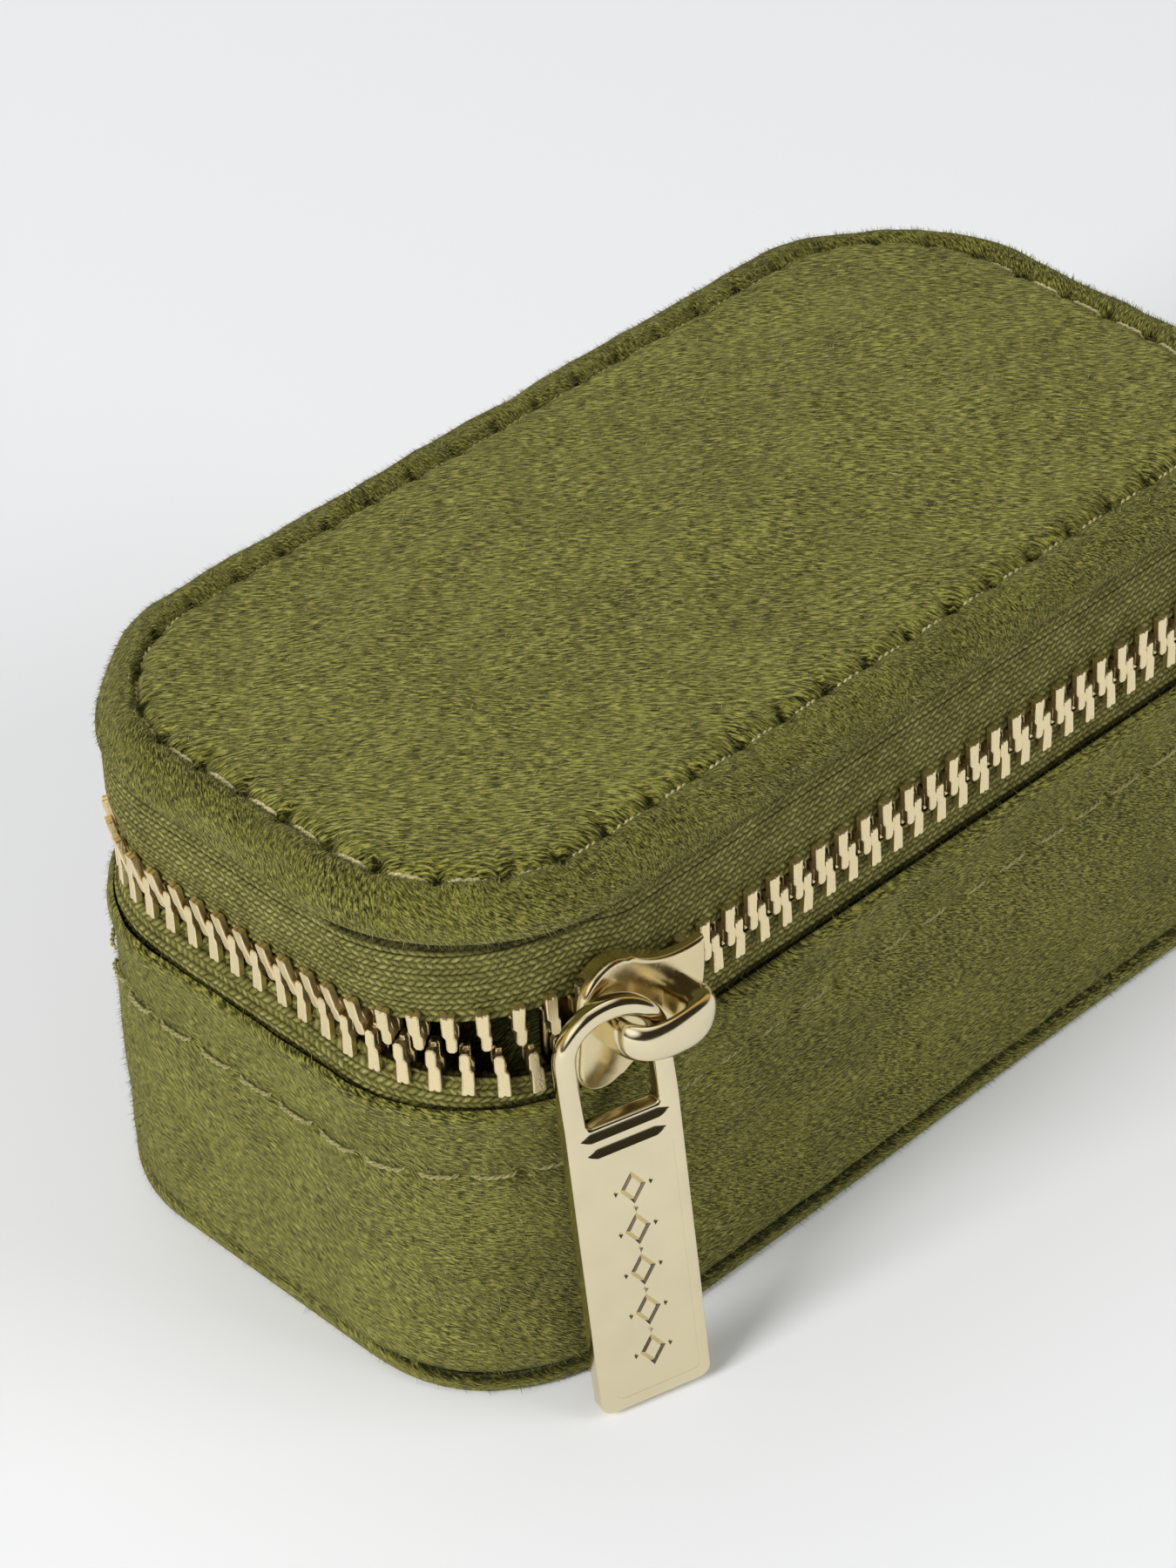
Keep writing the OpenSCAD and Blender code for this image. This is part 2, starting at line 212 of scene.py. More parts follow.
class Shape:
    """Points and faces gathered for one piece, in millimetres."""

    def __init__(self):
        self.points, self.faces, self.uv, self.slots, self.values = [], [], [], [], []
        self.count = 0

    def add(self, points, faces, uv=None, slot=0, value=None):
        """New points with their faces; value is a number a point, for its painted shade (on the tape,
        the weave's height with painted shade in it).
        """
        self.points.append(np.asarray(points, float))
        self.count += len(points)
        self.values.append(np.zeros(len(points)) if value is None else np.ravel(value))
        return self.more(faces, uv, slot)

    def more(self, faces, uv=None, slot=0):
        """More faces on the points added last. uv has one pair for each face corner; without it
        the cloth map is the plan."""
        faces, last = np.asarray(faces), self.points[-1]
        self.faces += (faces + self.count - len(last)).tolist()
        self.uv.append(last[faces.ravel(), :2] if uv is None else np.reshape(uv, (-1, 2)))
        self.slots.append(np.full(len(faces), slot))
        return self

    def ends(self, n, m, flip=False):
        """Closes both ends of a tube of n columns of m points."""
        for column, turned in ((0, not flip), (n - 1, flip)):
            cap = column * m + np.arange(m)
            self.more([cap if turned else cap[::-1]], np.zeros((m, 2)))
        return self

    def flipped(self):
        """The same faces, seen from the other side."""
        corners = np.split(np.vstack(self.uv), np.cumsum([len(f) for f in self.faces])[:-1])
        self.faces = [f[::-1] for f in self.faces]
        self.uv = [np.vstack([c[::-1] for c in corners])]
        return self

    def placed(self, points):
        """A copy of the shape with other points."""
        made = Shape()
        made.faces, made.uv, made.slots, made.values = self.faces, self.uv, self.slots, self.values
        made.points, made.count = [points], self.count
        return made

    def make(self, name, materials, body=None, slot=None, replaces=(), smooth=True, crease=None):
        mesh = bpy.data.meshes.new(name)
        mesh.from_pydata((np.vstack(self.points) * MM).tolist(), [], self.faces)
        layer = mesh.uv_layers.new(name=UV)
        layer.data.foreach_set("uv", np.vstack(self.uv).astype(np.float32).ravel())
        # The relief attribute carries painted shade; on the tape, the weave's height with painted
        # shade in it.
        height = mesh.attributes.new("relief", "FLOAT", "POINT")
        height.data.foreach_set("value", np.concatenate(self.values).astype(np.float32))
        for material in materials if isinstance(materials, list) else [materials]:
            mesh.materials.append(material)
        mesh.polygons.foreach_set("material_index", np.concatenate(self.slots).astype(np.int32))
        if smooth:
            mesh.shade_smooth()
        if crease:
            mesh.set_sharp_from_angle(angle=math.radians(crease))
        mesh.update()
        obj = bpy.data.objects.new(name, mesh)
        bpy.context.scene.collection.objects.link(obj)
        if body:
            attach(obj, body)
        if replaces:
            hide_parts(*replaces)
        return obj


def joined(parts):
    """One shape from several."""
    shape = Shape()
    for part in parts:
        shape.faces += [[i + shape.count for i in f] for f in part.faces]
        for held in ("points", "uv", "slots", "values", "count"):
            setattr(shape, held, getattr(shape, held) + getattr(part, held))
    return shape


def grid_cells(n, m, closed, looped):
    """Column and point numbers of each quad, and of the next column and point."""
    columns, points = n if closed else n - 1, m if looped else m - 1
    i, j = np.meshgrid(np.arange(columns), np.arange(points), indexing="ij")
    return i, j, (i + 1) % n, (j + 1) % m


def grid_faces(n, m, closed, looped=False, flip=False):
    """Quads over n columns of m points. Closed joins the columns round, looped each column."""
    i, j, k, l = grid_cells(n, m, closed, looped)
    faces = np.stack([i * m + j, k * m + j, k * m + l, i * m + l], -1).reshape(-1, 4)
    return faces[:, ::-1] if flip else faces


def grid_uv(u, v, closed, looped=False, flip=False):
    """Cloth map of those quads: u for each column and one past the last, v for each point."""
    i, j, k, l = grid_cells(*v.shape, closed, looped)
    corners = (i, i, j), (i + 1, k, j), (i + 1, k, l), (i, i, l)
    uv = np.stack([np.stack([u[a], v[b, c]], -1) for a, b, c in corners], -2).reshape(-1, 4, 2)
    return uv[:, ::-1] if flip else uv


def grid_band(n, m, first, last, closed=True):
    """The quads of a grid that lie between two of its rows."""
    rows = last - first + 1
    column, row = np.divmod(grid_faces(n, rows, closed), rows)
    return column * m + row + first


def run_length(points):
    """Length along each column of points, from its first."""
    step = np.linalg.norm(np.diff(points, axis=1), axis=2)
    return np.concatenate([np.zeros((len(points), 1)), np.cumsum(step, axis=1)], axis=1)


def inside(points, loop):
    """True for each point inside a closed loop of 2-D points."""
    a, b = loop, np.roll(loop, -1, 0)
    x, y = points[:, :1], points[:, 1:]
    crosses = (a[:, 1] > y) != (b[:, 1] > y)
    with np.errstate(divide="ignore", invalid="ignore"):
        at = a[:, 0] + (y - a[:, 1]) * (b[:, 0] - a[:, 0]) / (b[:, 1] - a[:, 1])
    return (crosses & (x < at)).sum(1) % 2 == 1


def gaps(points, line):
    """Distance from each point to the nearest point of a line."""
    return np.sqrt([np.min(np.sum((line - p) ** 2, 1)) for p in points])


def grid_inside(loop, spacing):
    """Points of a staggered grid inside a loop, clear of its edge."""
    low, high = loop.min(0), loop.max(0)
    ranges = (np.arange(low[k], high[k], spacing) for k in (0, 1))
    x, y = np.meshgrid(*ranges, indexing="ij")
    x = x + spacing / 2 * (np.arange(x.shape[1]) % 2)
    new = np.stack([x.ravel(), y.ravel()], -1)
    new = new[inside(new, loop)]
    return new[gaps(new, loop) > 0.6 * spacing]


def fill(points, loops, height=None, spacing=None, up=True):
    """Triangles inside the first loop of point numbers and outside the others, with new points
    on a grid when spacing is given. Returns all the points and the triangles."""
    links, start = [], 0
    for loop in loops:
        links += [(start + i, start + (i + 1) % len(loop)) for i in range(len(loop))]
        start += len(loop)
    rim = points[np.concatenate(loops), :2]
    new = grid_inside(rim, spacing) if spacing else np.zeros((0, 2))
    both = np.concatenate([rim, new])
    _, _, tris, origin, *_ = delaunay_2d_cdt([Vector(p) for p in both], links, [], 1, 1e-7)
    tris = np.array([o[0] for o in origin])[np.array(tris)]
    for loop in loops[1:]:
        tris = tris[~inside(both[tris].mean(1), points[loop, :2])]
    (ax, ay), (bx, by) = (both[tris[:, k]].T - both[tris[:, 0]].T for k in (1, 2))
    turned = (ax * by - ay * bx > 0) == up
    tris = np.where(turned[:, None], tris, tris[:, ::-1])
    number = np.concatenate([*loops, len(points) + np.arange(len(new))])
    z = np.full(len(new), points[loops[0][0], 2])
    if height and len(new):
        z = height(*new.T)
    return np.vstack([points, np.column_stack([new, z])]), number[tris]


def miter(outline):
    """Outward offsets of a counter-clockwise outline, long enough to keep its edges parallel."""
    edge = unit(np.roll(outline, -1, 0) - outline)
    normal = np.column_stack([edge[:, 1], -edge[:, 0]])
    both = unit(normal + np.roll(normal, 1, 0))
    return both / np.clip((both * normal).sum(1), 0.6, 1)[:, None]


def slab(outline, rings, holes=(), top=None, spacing=None, rounding=None):
    """A closed slab: the outline inset by each ring's first number at the height of its second,
    from the bottom to the top, and filled. rounding gives a scale for each point of a line, by
    which the lower rings shrink towards the bottom and the upper ones towards the top."""
    insets, heights = np.array(rings, float).T
    end = np.where(np.arange(len(rings)) < len(rings) // 2, heights[0], heights[-1])
    m, start = len(rings), 0
    points, faces, uv, lows = [], [], [], []
    for line in (outline, *holes):
        line = np.asarray(line, float)
        n = len(line)
        by = (np.ones(n) if rounding is None else rounding(line))[:, None]
        at = line[:, None] - (insets * by)[..., None] * miter(line)[:, None]
        z = end + (heights - end) * by
        points.append(np.concatenate([at, z[..., None]], -1).reshape(-1, 3))
        faces.append(grid_faces(n, m, True) + start)
        along = np.cumsum(np.linalg.norm(line - np.roll(line, -1, 0), axis=1))
        uv.append(grid_uv(np.append(0, along), np.broadcast_to(heights, (n, m)), True))
        lows.append(start + np.arange(n) * m)
        start += n * m
    highs = [low + m - 1 for low in lows]
    points, above = fill(np.concatenate(points), highs, top, spacing, True)
    points, below = fill(points, lows, None, spacing, False)
    return Shape().add(points, np.vstack(faces), np.vstack(uv)).more(above).more(below)


def rounded_rings(low, high, r_low, r_high, steps=5):
    """Rings for a slab whose edges are rounded at the bottom and the top."""
    bend = np.linspace(0, math.pi / 2, steps)
    rings = [(r_low * (1 - math.sin(a)), low + r_low * (1 - math.cos(a))) for a in bend]
    return rings + [(r_high * (1 - math.cos(a)), high - r_high * (1 - math.sin(a))) for a in bend]


def tube(line, radius, sides=7):
    """A closed tube along a line of points, with rounded-off ends: points, quads, triangles."""
    along = unit(np.gradient(line, axis=0))
    across = unit(np.cross(along, [0.31, 0.17, 0.93]))
    other = np.cross(along, across)
    a = np.arange(sides) * math.tau / sides
    size = radius * np.ones(len(line))
    size[[0, -1]] *= 0.55
    ring = across[:, None] * np.cos(a)[:, None] + other[:, None] * np.sin(a)[:, None]
    points = (line[:, None] + ring * size[:, None, None]).reshape(-1, 3)
    n, k = len(line), np.arange(sides)
    quads = grid_faces(n, sides, False, looped=True, flip=True)
    tips, end = np.full((2, sides), n * sides) + [[0], [1]], (n - 1) * sides
    first = np.column_stack([k, (k + 1) % sides, tips[0]])
    last = np.column_stack([end + (k + 1) % sides, end + k, tips[1]])
    return np.vstack([points, line[0], line[-1]]), quads, np.vstack([first, last])


def pile_fibres(
    name, pieces, count, body, direction, seed, length=0.75, width=0.075, lean=62, floor=None
):
    """Short fibres standing out of the cloth, each a closed sliver, leaning along the pile.
    pieces are the points and triangles or quads that they grow on; direction gives the pile's
    way at each root from its normal."""
    rng = np.random.default_rng(seed)
    roots, normals, areas = [], [], []
    for points, faces in pieces:
        corner = [points[column] for column in faces.T]
        normal = np.cross(corner[1] - corner[0], corner[2] - corner[0])
        size = np.linalg.norm(normal, axis=1)
        roots.append([corner[0], corner[1], corner[2], corner[-1]])
        normals.append(normal / np.maximum(size, 1e-9)[:, None])
        areas.append(size * (0.5 if len(corner) == 3 else 1.0))
    area = np.concatenate(areas)
    pick = rng.choice(len(area), count, p=area / area.sum())
    a, b, c, d = (np.concatenate(k)[pick] for k in zip(*roots))
    n = np.concatenate(normals)[pick]
    u, v = rng.random((2, count, 1))
    quad = np.linalg.norm(d - c, axis=1)[:, None] > 1e-9
    over = (u + v > 1) & ~quad
    u, v = np.where(over, 1 - u, u), np.where(over, 1 - v, v)
    flat = a + u * (b - a) + v * (c - a)
    bent = (1 - u) * (1 - v) * a + u * (1 - v) * b + u * v * c + (1 - u) * v * d
    root = np.where(quad, bent, flat)
    way = direction(n)
    way = unit(way - n * (way * n).sum(1)[:, None])
    turn = rng.normal(0, 0.55, (count, 1))
    way = way * np.cos(turn) + np.cross(n, way) * np.sin(turn)
    side = np.cross(n, way)
    tilt = np.radians(np.clip(rng.normal(lean, 18, (count, 1)), 5, 84))
    reach = length * rng.uniform(0.55, 1.25, (count, 1))
    tip = root + (n * np.cos(tilt) + way * np.sin(tilt)) * reach
    half = width / 2 * rng.uniform(0.7, 1.3, (count, 1))
    sunk = root - n * 0.12
    ridge = sunk + n * half * 1.2 + way * half
    corners = np.stack([sunk - side * half, sunk + side * half, ridge, tip], 1)
    if floor is not None:
        corners[..., 2] = np.maximum(corners[..., 2], floor)
    sliver = np.array([[0, 2, 1], [0, 1, 3], [1, 2, 3], [2, 0, 3]])
    faces = (sliver + 4 * np.arange(count)[:, None, None]).reshape(-1, 3)
    shade = np.repeat(rng.integers(0, len(PILE_SHADES), count), 4)
    shape = Shape().add(corners.reshape(-1, 3), faces, slot=shade)
    return shape.make(name, PILE_SHADES, body, "velour", smooth=False)


# ---- Materials ----


class Nodes:
    """The nodes of a material or of the world."""

    def __init__(self, holder):
        holder.use_nodes = True
        self.tree = holder.node_tree
        self.tree.nodes.clear()

    def node(self, kind, inputs=(), out=0, **settings):
        """A new node's output; inputs are values or other nodes' outputs."""
        made = self.tree.nodes.new("ShaderNode" + kind)
        for key, value in settings.items():
            setattr(made, key, value)
        for key, value in dict(inputs).items():
            if isinstance(value, bpy.types.NodeSocket):
                self.tree.links.new(value, made.inputs[key])
            else:
                made.inputs[key].default_value = value
        return made.outputs[out] if made.outputs else None

    def math(self, operation, a, b):
        return self.node("Math", {0: a, 1: b}, operation=operation)

    def vector(self, operation, a, b, out=0):
        return self.node("VectorMath", {0: a, 1: b}, out, operation=operation)

    def spread(self, value, low, high, new_low, new_high):
        return self.node("MapRange", {0: value, 1: low, 2: high, 3: new_low, 4: new_high})

    def ramp(self, value, stops):
        made = self.node("ValToRGB", {0: value})
        points = made.node.color_ramp.elements
        while len(points) < len(stops):
            points.new(0.5)
        for point, (place, colour) in zip(points, stops):
            point.position, point.color = place, (*colour, 1)
        return made


class Graph(Nodes):
    """A material's nodes, round one Principled shader."""

    def __init__(self, name, **uniform):
        self.material = bpy.data.materials.new(name)
        super().__init__(self.material)
        surface = self.node("BsdfPrincipled")
        self.shader = surface.node
        self.node("OutputMaterial", {"Surface": surface})
        for key, value in uniform.items():
            self.shader.inputs[key.replace("_", " ")].default_value = value

    def cloth(self, turn=0.0):
        """The cloth map in millimetres, turned."""
        flat = self.node("UVMap", uv_map=UV)
        return self.node("Mapping", {"Vector": flat, "Rotation": (0, 0, turn)})

    def solid(self):
        """The place in the object, in metres."""
        return self.node("TexCoord", out="Object")

    def noise(self, vector, size, detail=2.0, rough=0.55, swirl=0.0):
        """Noise whose features are about size, which may differ along and across."""
        size = size if isinstance(size, tuple) else (size,) * 3
        scaled = self.node("Mapping", {"Vector": vector, "Scale": tuple(1 / v for v in size)})
        settings = {"Scale": 1.0, "Detail": detail, "Roughness": rough, "Distortion": swirl}
        return self.node("TexNoise", {"Vector": scaled, **settings})

    def relief(self):
        """The mesh's own number at each point: painted shade on the velour, and on the tape the
        weave's height with painted shade in it.
        """
        return self.node("Attribute", attribute_name="relief", out=2)

    def sum(self, *parts):
        """Weighted sum of (socket, weight) pairs."""
        total, *others = (self.math("MULTIPLY", socket, weight) for socket, weight in parts)
        for part in others:
            total = self.math("ADD", total, part)
        return total

    def finish(self, colour=None, roughness=None, height=None, depth=0.1, strength=1.0):
        """Links the varying inputs; depth is the relief in millimetres."""
        bump = None
        if height is not None:
            inputs = {"Height": height, "Distance": depth * MM, "Strength": strength}
            bump = self.node("Bump", inputs)
        for key, socket in (("Base Color", colour), ("Roughness", roughness), ("Normal", bump)):
            if socket is not None:
                self.tree.links.new(socket, self.shader.inputs[key])
        return self.material


def toned(colour, by):
    return tuple(c * by for c in colour)


OLIVE = (0.149, 0.140, 0.029)
DUSTY = (0.150, 0.143, 0.043)
# Tone of the cloth by the grain's value less the mesh's painted shade: darkest where painted shade
# fills a crease or needle hole, lightest on the grain's lightest streaks.
PILE_TONES = ((0.43, 0.10), (0.52, 0.58), (0.58, 1.15), (0.70, 2.6))


def velour_material(name, tone=1.0, turns=(0.0, 0.0), streak=(0.17, 1.0)):
    """Short brushed pile: wavy streaks that swing between two directions in broad patches, darkened
    by painted shade in creases and at needle holes, from the mesh's relief value."""
    g = Graph(name, Roughness=0.92, Specular_IOR_Level=0.12, Sheen_Weight=0.3, Sheen_Roughness=0.45,
              Sheen_Tint=(0.60, 0.62, 0.28, 1))
    one, other = (g.noise(g.cloth(math.radians(t)), (*streak, 1), 2.0, 0.6, 0.45) for t in turns)
    cloth = g.cloth()
    brushed = g.spread(g.noise(cloth, (13, 13, 1), 1.0), 0.44, 0.56, 0.0, 1.0)
    fine = g.node("Mix", {0: brushed, 2: one, 3: other})
    patch = g.noise(cloth, (9, 7, 1), 3.0, 0.6, 1.0)
    # The mesh's relief value darkens the cloth: painted shade at the wall's seam, the bottom lip and
    # the needle holes.
    mixed = g.sum((fine, 1.0), (patch, 0.13), (g.relief(), -0.3))
    colour = g.ramp(mixed, [(place, toned(OLIVE, by * tone)) for place, by in PILE_TONES])
    return g.finish(colour, height=fine, depth=0.5, strength=0.9)


def pile_shade(name, by):
    """One plain shade of loose fibre; a few shades are mixed at random."""
    shade = (*toned(DUSTY, by), 1)
    return Graph(name, Roughness=0.85, Specular_IOR_Level=0.15, Base_Color=shade).material


def tape_material():
    """Woven tape: pale ribs, with painted shade between the threads and painted shadow where the
    mesh's value is lowered.
    """
    g = Graph("tape_weave", Roughness=0.8, Specular_IOR_Level=0.1)
    cloth = g.cloth()
    thread = g.noise(cloth, (0.12, 0.5, 1), 2.0)
    patch = g.noise(cloth, (3.0, 3.0, 1), 2.0)
    # Near black where the value is low: painted shade between the threads, and painted shadow under
    # the lid's rim and by the base's roll.
    colour = g.ramp(
        g.sum((g.relief(), 0.62), (thread, 0.3), (patch, 0.22)),
        [
            (0.30, (0.008, 0.007, 0.002)), (0.52, (0.090, 0.083, 0.021)),
            (0.72, (0.185, 0.172, 0.050)), (0.96, (0.420, 0.395, 0.150)),
        ],
    )
    return g.finish(colour, height=thread, depth=0.12, strength=0.7)


def thread_material(name, pale, dark):
    g = Graph(name, Roughness=0.6, Specular_IOR_Level=0.2)
    strands = g.noise(g.cloth(), (0.35, 0.12, 1), 2.0)
    return g.finish(g.ramp(strands, [(0.35, dark), (0.65, pale)]), height=strands, depth=0.05)


def metal_material(name, colour, rough, wear=0.05, grain=0.0):
    """Plated metal: faint smudges and hairline wear in the polish."""
    g = Graph(name, Metallic=1.0)
    place = g.solid()
    smudge = g.noise(place, 4 * MM, 3.0)
    specks = g.noise(place, 0.16 * MM, 2.0)
    tint = g.ramp(smudge, [(0.3, toned(colour, 0.94)), (0.7, colour)])
    roughness = g.spread(g.sum((smudge, 0.6), (specks, 0.4)), 0.35, 0.65, rough, rough + wear)
    return g.finish(tint, roughness, specks if grain else None, depth=grain)


def board_material():
    g = Graph("grey_board", Roughness=0.9)
    flecks = g.noise(g.solid(), (1.2 * MM, 1.2 * MM, 0.4 * MM), 4.0, 0.7)
    colour = g.ramp(flecks, [(0.3, (0.26, 0.23, 0.18)), (0.7, (0.42, 0.38, 0.31))])
    return g.finish(colour, height=flecks, depth=0.05)


# The rim and the wall take the top's velour toned darker: painted shade for their sideways faces.
VELOUR_TOP = velour_material("velour_top", turns=(-53, -42))
VELOUR_RIM = velour_material("velour_rim", tone=0.82, turns=(-50, -15), streak=(0.13, 0.6))
VELOUR_WALL = velour_material("velour_wall", tone=0.88, turns=(-80, -58), streak=(0.13, 0.8))
VELOUR_LINING = velour_material("velour_lining", tone=0.8, turns=(-10, 15))
FIBRE_SHADES = (("dark", 0.22), ("mid", 0.7), ("light", 1.25), ("bright", 2.25))
PILE_SHADES = [pile_shade("pile_" + name, by) for name, by in FIBRE_SHADES]
TAPE = tape_material()
THREAD_LID = thread_material("thread_lid", (0.74, 0.66, 0.36), (0.42, 0.37, 0.16))
THREAD_BASE = thread_material("thread_base", (0.40, 0.36, 0.16), (0.20, 0.18, 0.06))
GOLD = metal_material("pale_gold", (0.79, 0.70, 0.47), 0.10, 0.08)
# The casting's plating is toned more amber than the bridge's: painted amber reflection from its own
# hollows.
GOLD_SLIDER = metal_material("pale_gold_cast", (0.78, 0.665, 0.39), 0.14, 0.14, grain=0.004)
TOOTH_METAL = metal_material("zip_metal", (0.92, 0.78, 0.47), 0.24, 0.2, grain=0.05)
BOARD = board_material()


# ---- Base ----


def holes_of(plan, s, width=0.55):
    """How close each place is to a needle hole of the stitched row, 1 on it."""
    pitch = plan.ring_len / round(plan.ring_len / STITCH_PITCH)
    off = (s / pitch + 0.5) % 1 - 0.5
    return np.exp(-((off * pitch / width) ** 2))


def base_wall():
    """Velour wall with its rolled top edge, pulled in along the stitches. The roll runs out
    along the back, where the hinge strip takes over. Returns its outside, for the pile."""
    rolled = [
        (15.5, 1.95), (15.72, 2.5), (15.84, 4.2), (15.9, 8), (15.92, 12), (15.9, 16), (15.87, 20),
        (15.84, 22), (15.76, 23.2), (15.86, 24.4), (15.92, 26.0), (15.98, 27.5), (16.26, 28.3),
        (16.42, 29.1), (16.28, 29.86), (15.8, 30.22), (15.3, 29.95), (15.12, 29.1), (15.08, 27.3),
        (15.08, 20), (15.08, 10), (15.08, 2.3),
    ]
    count, outside_points, edge_z, plain_r = 640, 17, 27.4, 15.95
    plain = [(min(r, plain_r), z if z < edge_z else edge_z + 0.1 * (z - edge_z)) for r, z in rolled]
    s = wall_plan.steps(count)
    back = wall_plan.back_share(s)[:, None, None]
    rolled, plain = (curve_through(line, closed=True) for line in (rolled, plain))
    profile = (1 - back) * rolled + back * plain
    reach, z = profile[..., 0], profile[..., 1]
    outside = ease((reach - 15.3) / 0.5)
    near = np.exp(-((z - BASE_STITCH_Z) ** 2))
    pull = 0.42 * holes_of(wall_plan, s)[:, None] * near
    around = s[:, None]
    relief = 0.13 * lumps(around, z * 1.3, 15, 3) + 0.06 * lumps(around, z, 5, 4)
    end, front = wall_plan.end_share(s)[:, None], wall_plan.front_share(s)[:, None]
    taper = (0.35 + 0.2 * ease((z - 22) / 6)) * end - 0.75 * front * ease((9 - z) / 8)
    reach = reach + outside * (relief - pull - taper)
    # Painted shade along the seam at the wall's foot, carried in the mesh's value.
    seam = 0.45 * ease((2.6 - z) / 0.7) * outside
    z = z - 0.6 * front * ease((5 - z) / 3)
    points = wall_plan.place(s, reach, z).reshape(-1, 3)
    m = z.shape[1]
    uv = grid_uv(np.append(s, wall_plan.ring_len), z, True, True)
    shape = Shape().add(points, grid_faces(count, m, True, True), uv, value=seam)
    shape.make("base_wall_velour", VELOUR_WALL, "base", "velour", ["base_cover", "base_edge_roll"])
    return points, grid_band(count, m, 0, outside_points * PROFILE_STEPS)


def bottom_panel():
    """Velour under the base, turned up to the seam as a soft lip: hidden under the wall at the
    ends, lower and further out along the front. Returns the lip's outside, for the pile."""
    rings = [
        (1.2, 0.92), (1.1, 1.9), (0.7, 2.1), (0.25, 1.9), (0.0, 1.4), (-0.05, 0.85), (0.05, 0.4),
        (0.4, 0.08), (1.3, 0.0),
    ]
    count, m, low_edge = round(base_plan.ring_len / 0.8), len(rings), rings[0][1]
    s = base_plan.steps(count)
    front = base_plan.front_share(s)
    reach = base_plan.r - 0.95 * base_plan.end_share(s) * (1 - front) + 0.6 * front
    shape = slab(base_plan.place(s, reach[:, None], 0.0)[:, 0, :2], rings, spacing=3.0)
    lip = shape.points[0][: count * m, 2].reshape(count, m)
    # Painted shade along the top of the lip, where it meets the wall's foot.
    shape.values[0][: lip.size] = 0.45 * ease((lip - 1.6) / 0.5).ravel()
    lip -= np.maximum(lip - low_edge, 0) * 0.6 * front[:, None]
    shape.flipped().make("base_bottom_panel", VELOUR_WALL, "base", "velour", ["bottom_cover"])
    return shape.points[0], grid_band(count, m, 2, 6)[:, ::-1]


def tray_lining(name, profile, floor_z, crown, body, node, flip):
    """Velour-covered tray: over the wall board's edge, down the side and across the floor."""
    count = 420
    s = base_plan.steps(count)
    line = curve_through(profile)
    m, (edge_r, edge_z) = len(line), line[-1]
    reach, z = (np.tile(v, (count, 1)) for v in line.T)
    reach = reach + 0.06 * lumps(s[:, None], z, 9, 8) * ease((z - floor_z) / 2)
    points = base_plan.place(s, reach, z)
    uv = grid_uv(np.append(s, base_plan.ring_len), run_length(points), True, flip=flip)

    def level(x, y):
        inwards = base_plan.inset(x, y) - (BASE_R - edge_r)
        return edge_z + crown * ease(inwards / 7) + 0.05 * lumps(x, y, 11, 9)

    first = np.arange(count) * m
    points, inner = fill(points.reshape(-1, 3), [first + m - 1], level, 1.6, not flip)
    points, outer = fill(points, [first], None, 6.0, flip)
    shape = Shape().add(points, grid_faces(count, m, True, flip=flip), uv)
    shape.more(np.vstack([inner, outer])).make(name, VELOUR_LINING, body, "lining_velour", [node])


def base_lining():
    profile = [
        (12.4, 2.66), (12.5, 3.4), (12.5, 12), (12.5, 22), (12.5, 29.4), (12.7, 30.28), (13.4, 30.36),
        (14.0, 30.36), (14.16, 30.62), (13.9, 31.0), (13.1, 31.2), (12.3, 31.05), (11.93, 30.5),
        (11.86, 28), (11.86, 22), (11.86, 14), (11.86, 6), (11.8, 4.0), (11.4, 3.42), (10.6, 3.32),
    ]
    tray_lining("base_tray_lining", profile, 3.3, 0.0, "base", "base_lining", False)


def lid_lining():
    profile = [
        (12.4, 46.02), (12.5, 45.2), (12.5, 44), (12.5, 42.7), (12.7, 42.12), (13.4, 42.04),
        (14.0, 42.04), (14.16, 41.8), (13.9, 41.4), (13.1, 41.2), (12.3, 41.35), (11.93, 41.9),
        (11.86, 43), (11.86, 44.2), (11.6, 45.0), (10.9, 45.3), (9.8, 45.36),
    ]
    tray_lining("lid_tray_lining", profile, 41.0, -0.75, "lid", "lid_lining", True)


# ---- Stitches ----


def buried(line):
    """1 where the pile hides the lid's thread: along the back and, a little less, the front."""
    back, front = ease((line[:, 1] - 4) / 12), ease((46 - np.abs(line[:, 0])) / 7)
    return np.maximum(back, 0.8 * front)


def stitch_row(name, plan, reach, z, outward, radius, sink, material, body, node, seed):
    """Two-ply thread between needle holes, on a wall when outward and on the lid otherwise."""
    rng = np.random.default_rng(seed)
    count = round(plan.ring_len / STITCH_PITCH)
    pitch = plan.ring_len / count
    t = np.linspace(-1, 1, 22)
    lay = 1.25  # length of one turn of the plies
    shape = Shape()
    for k in range(count):
        length = STITCH_LEN * rng.uniform(0.92, 1.08)
        s = (k + 0.5) * pitch + t * (length / 2 + 0.2) + rng.uniform(-0.12, 0.12)
        lift = radius * 1.1 - sink * np.abs(t) ** 5
        slew = rng.uniform(-0.12, 0.12) * t
        for ply in (0, 1):
            angle = math.pi * ply + math.tau * (t + 1) * length / 2 / lay + rng.uniform(0, 1)
            r = reach + radius * 0.72 * np.cos(angle) + (lift if outward else slew)
            h = z + radius * 0.72 * np.sin(angle) + (slew if outward else lift)
            x, y, a = plan.at(s % plan.ring_len)
            line = np.column_stack([x + r * np.cos(a), y + r * np.sin(a), h])
            if outward:
                line[:, :2] *= 1 - 0.006 * plan.front_share(s % plan.ring_len)[:, None]
            else:
                line[:, 2] -= lid_drop(line[:, 1]) + 0.34 * buried(line)
            points, quads, tris = tube(line, radius * 0.78)
            shape.add(points, quads).more(tris)
    return shape.make(name, material, body, "thread", [node])


# ---- Zip ----


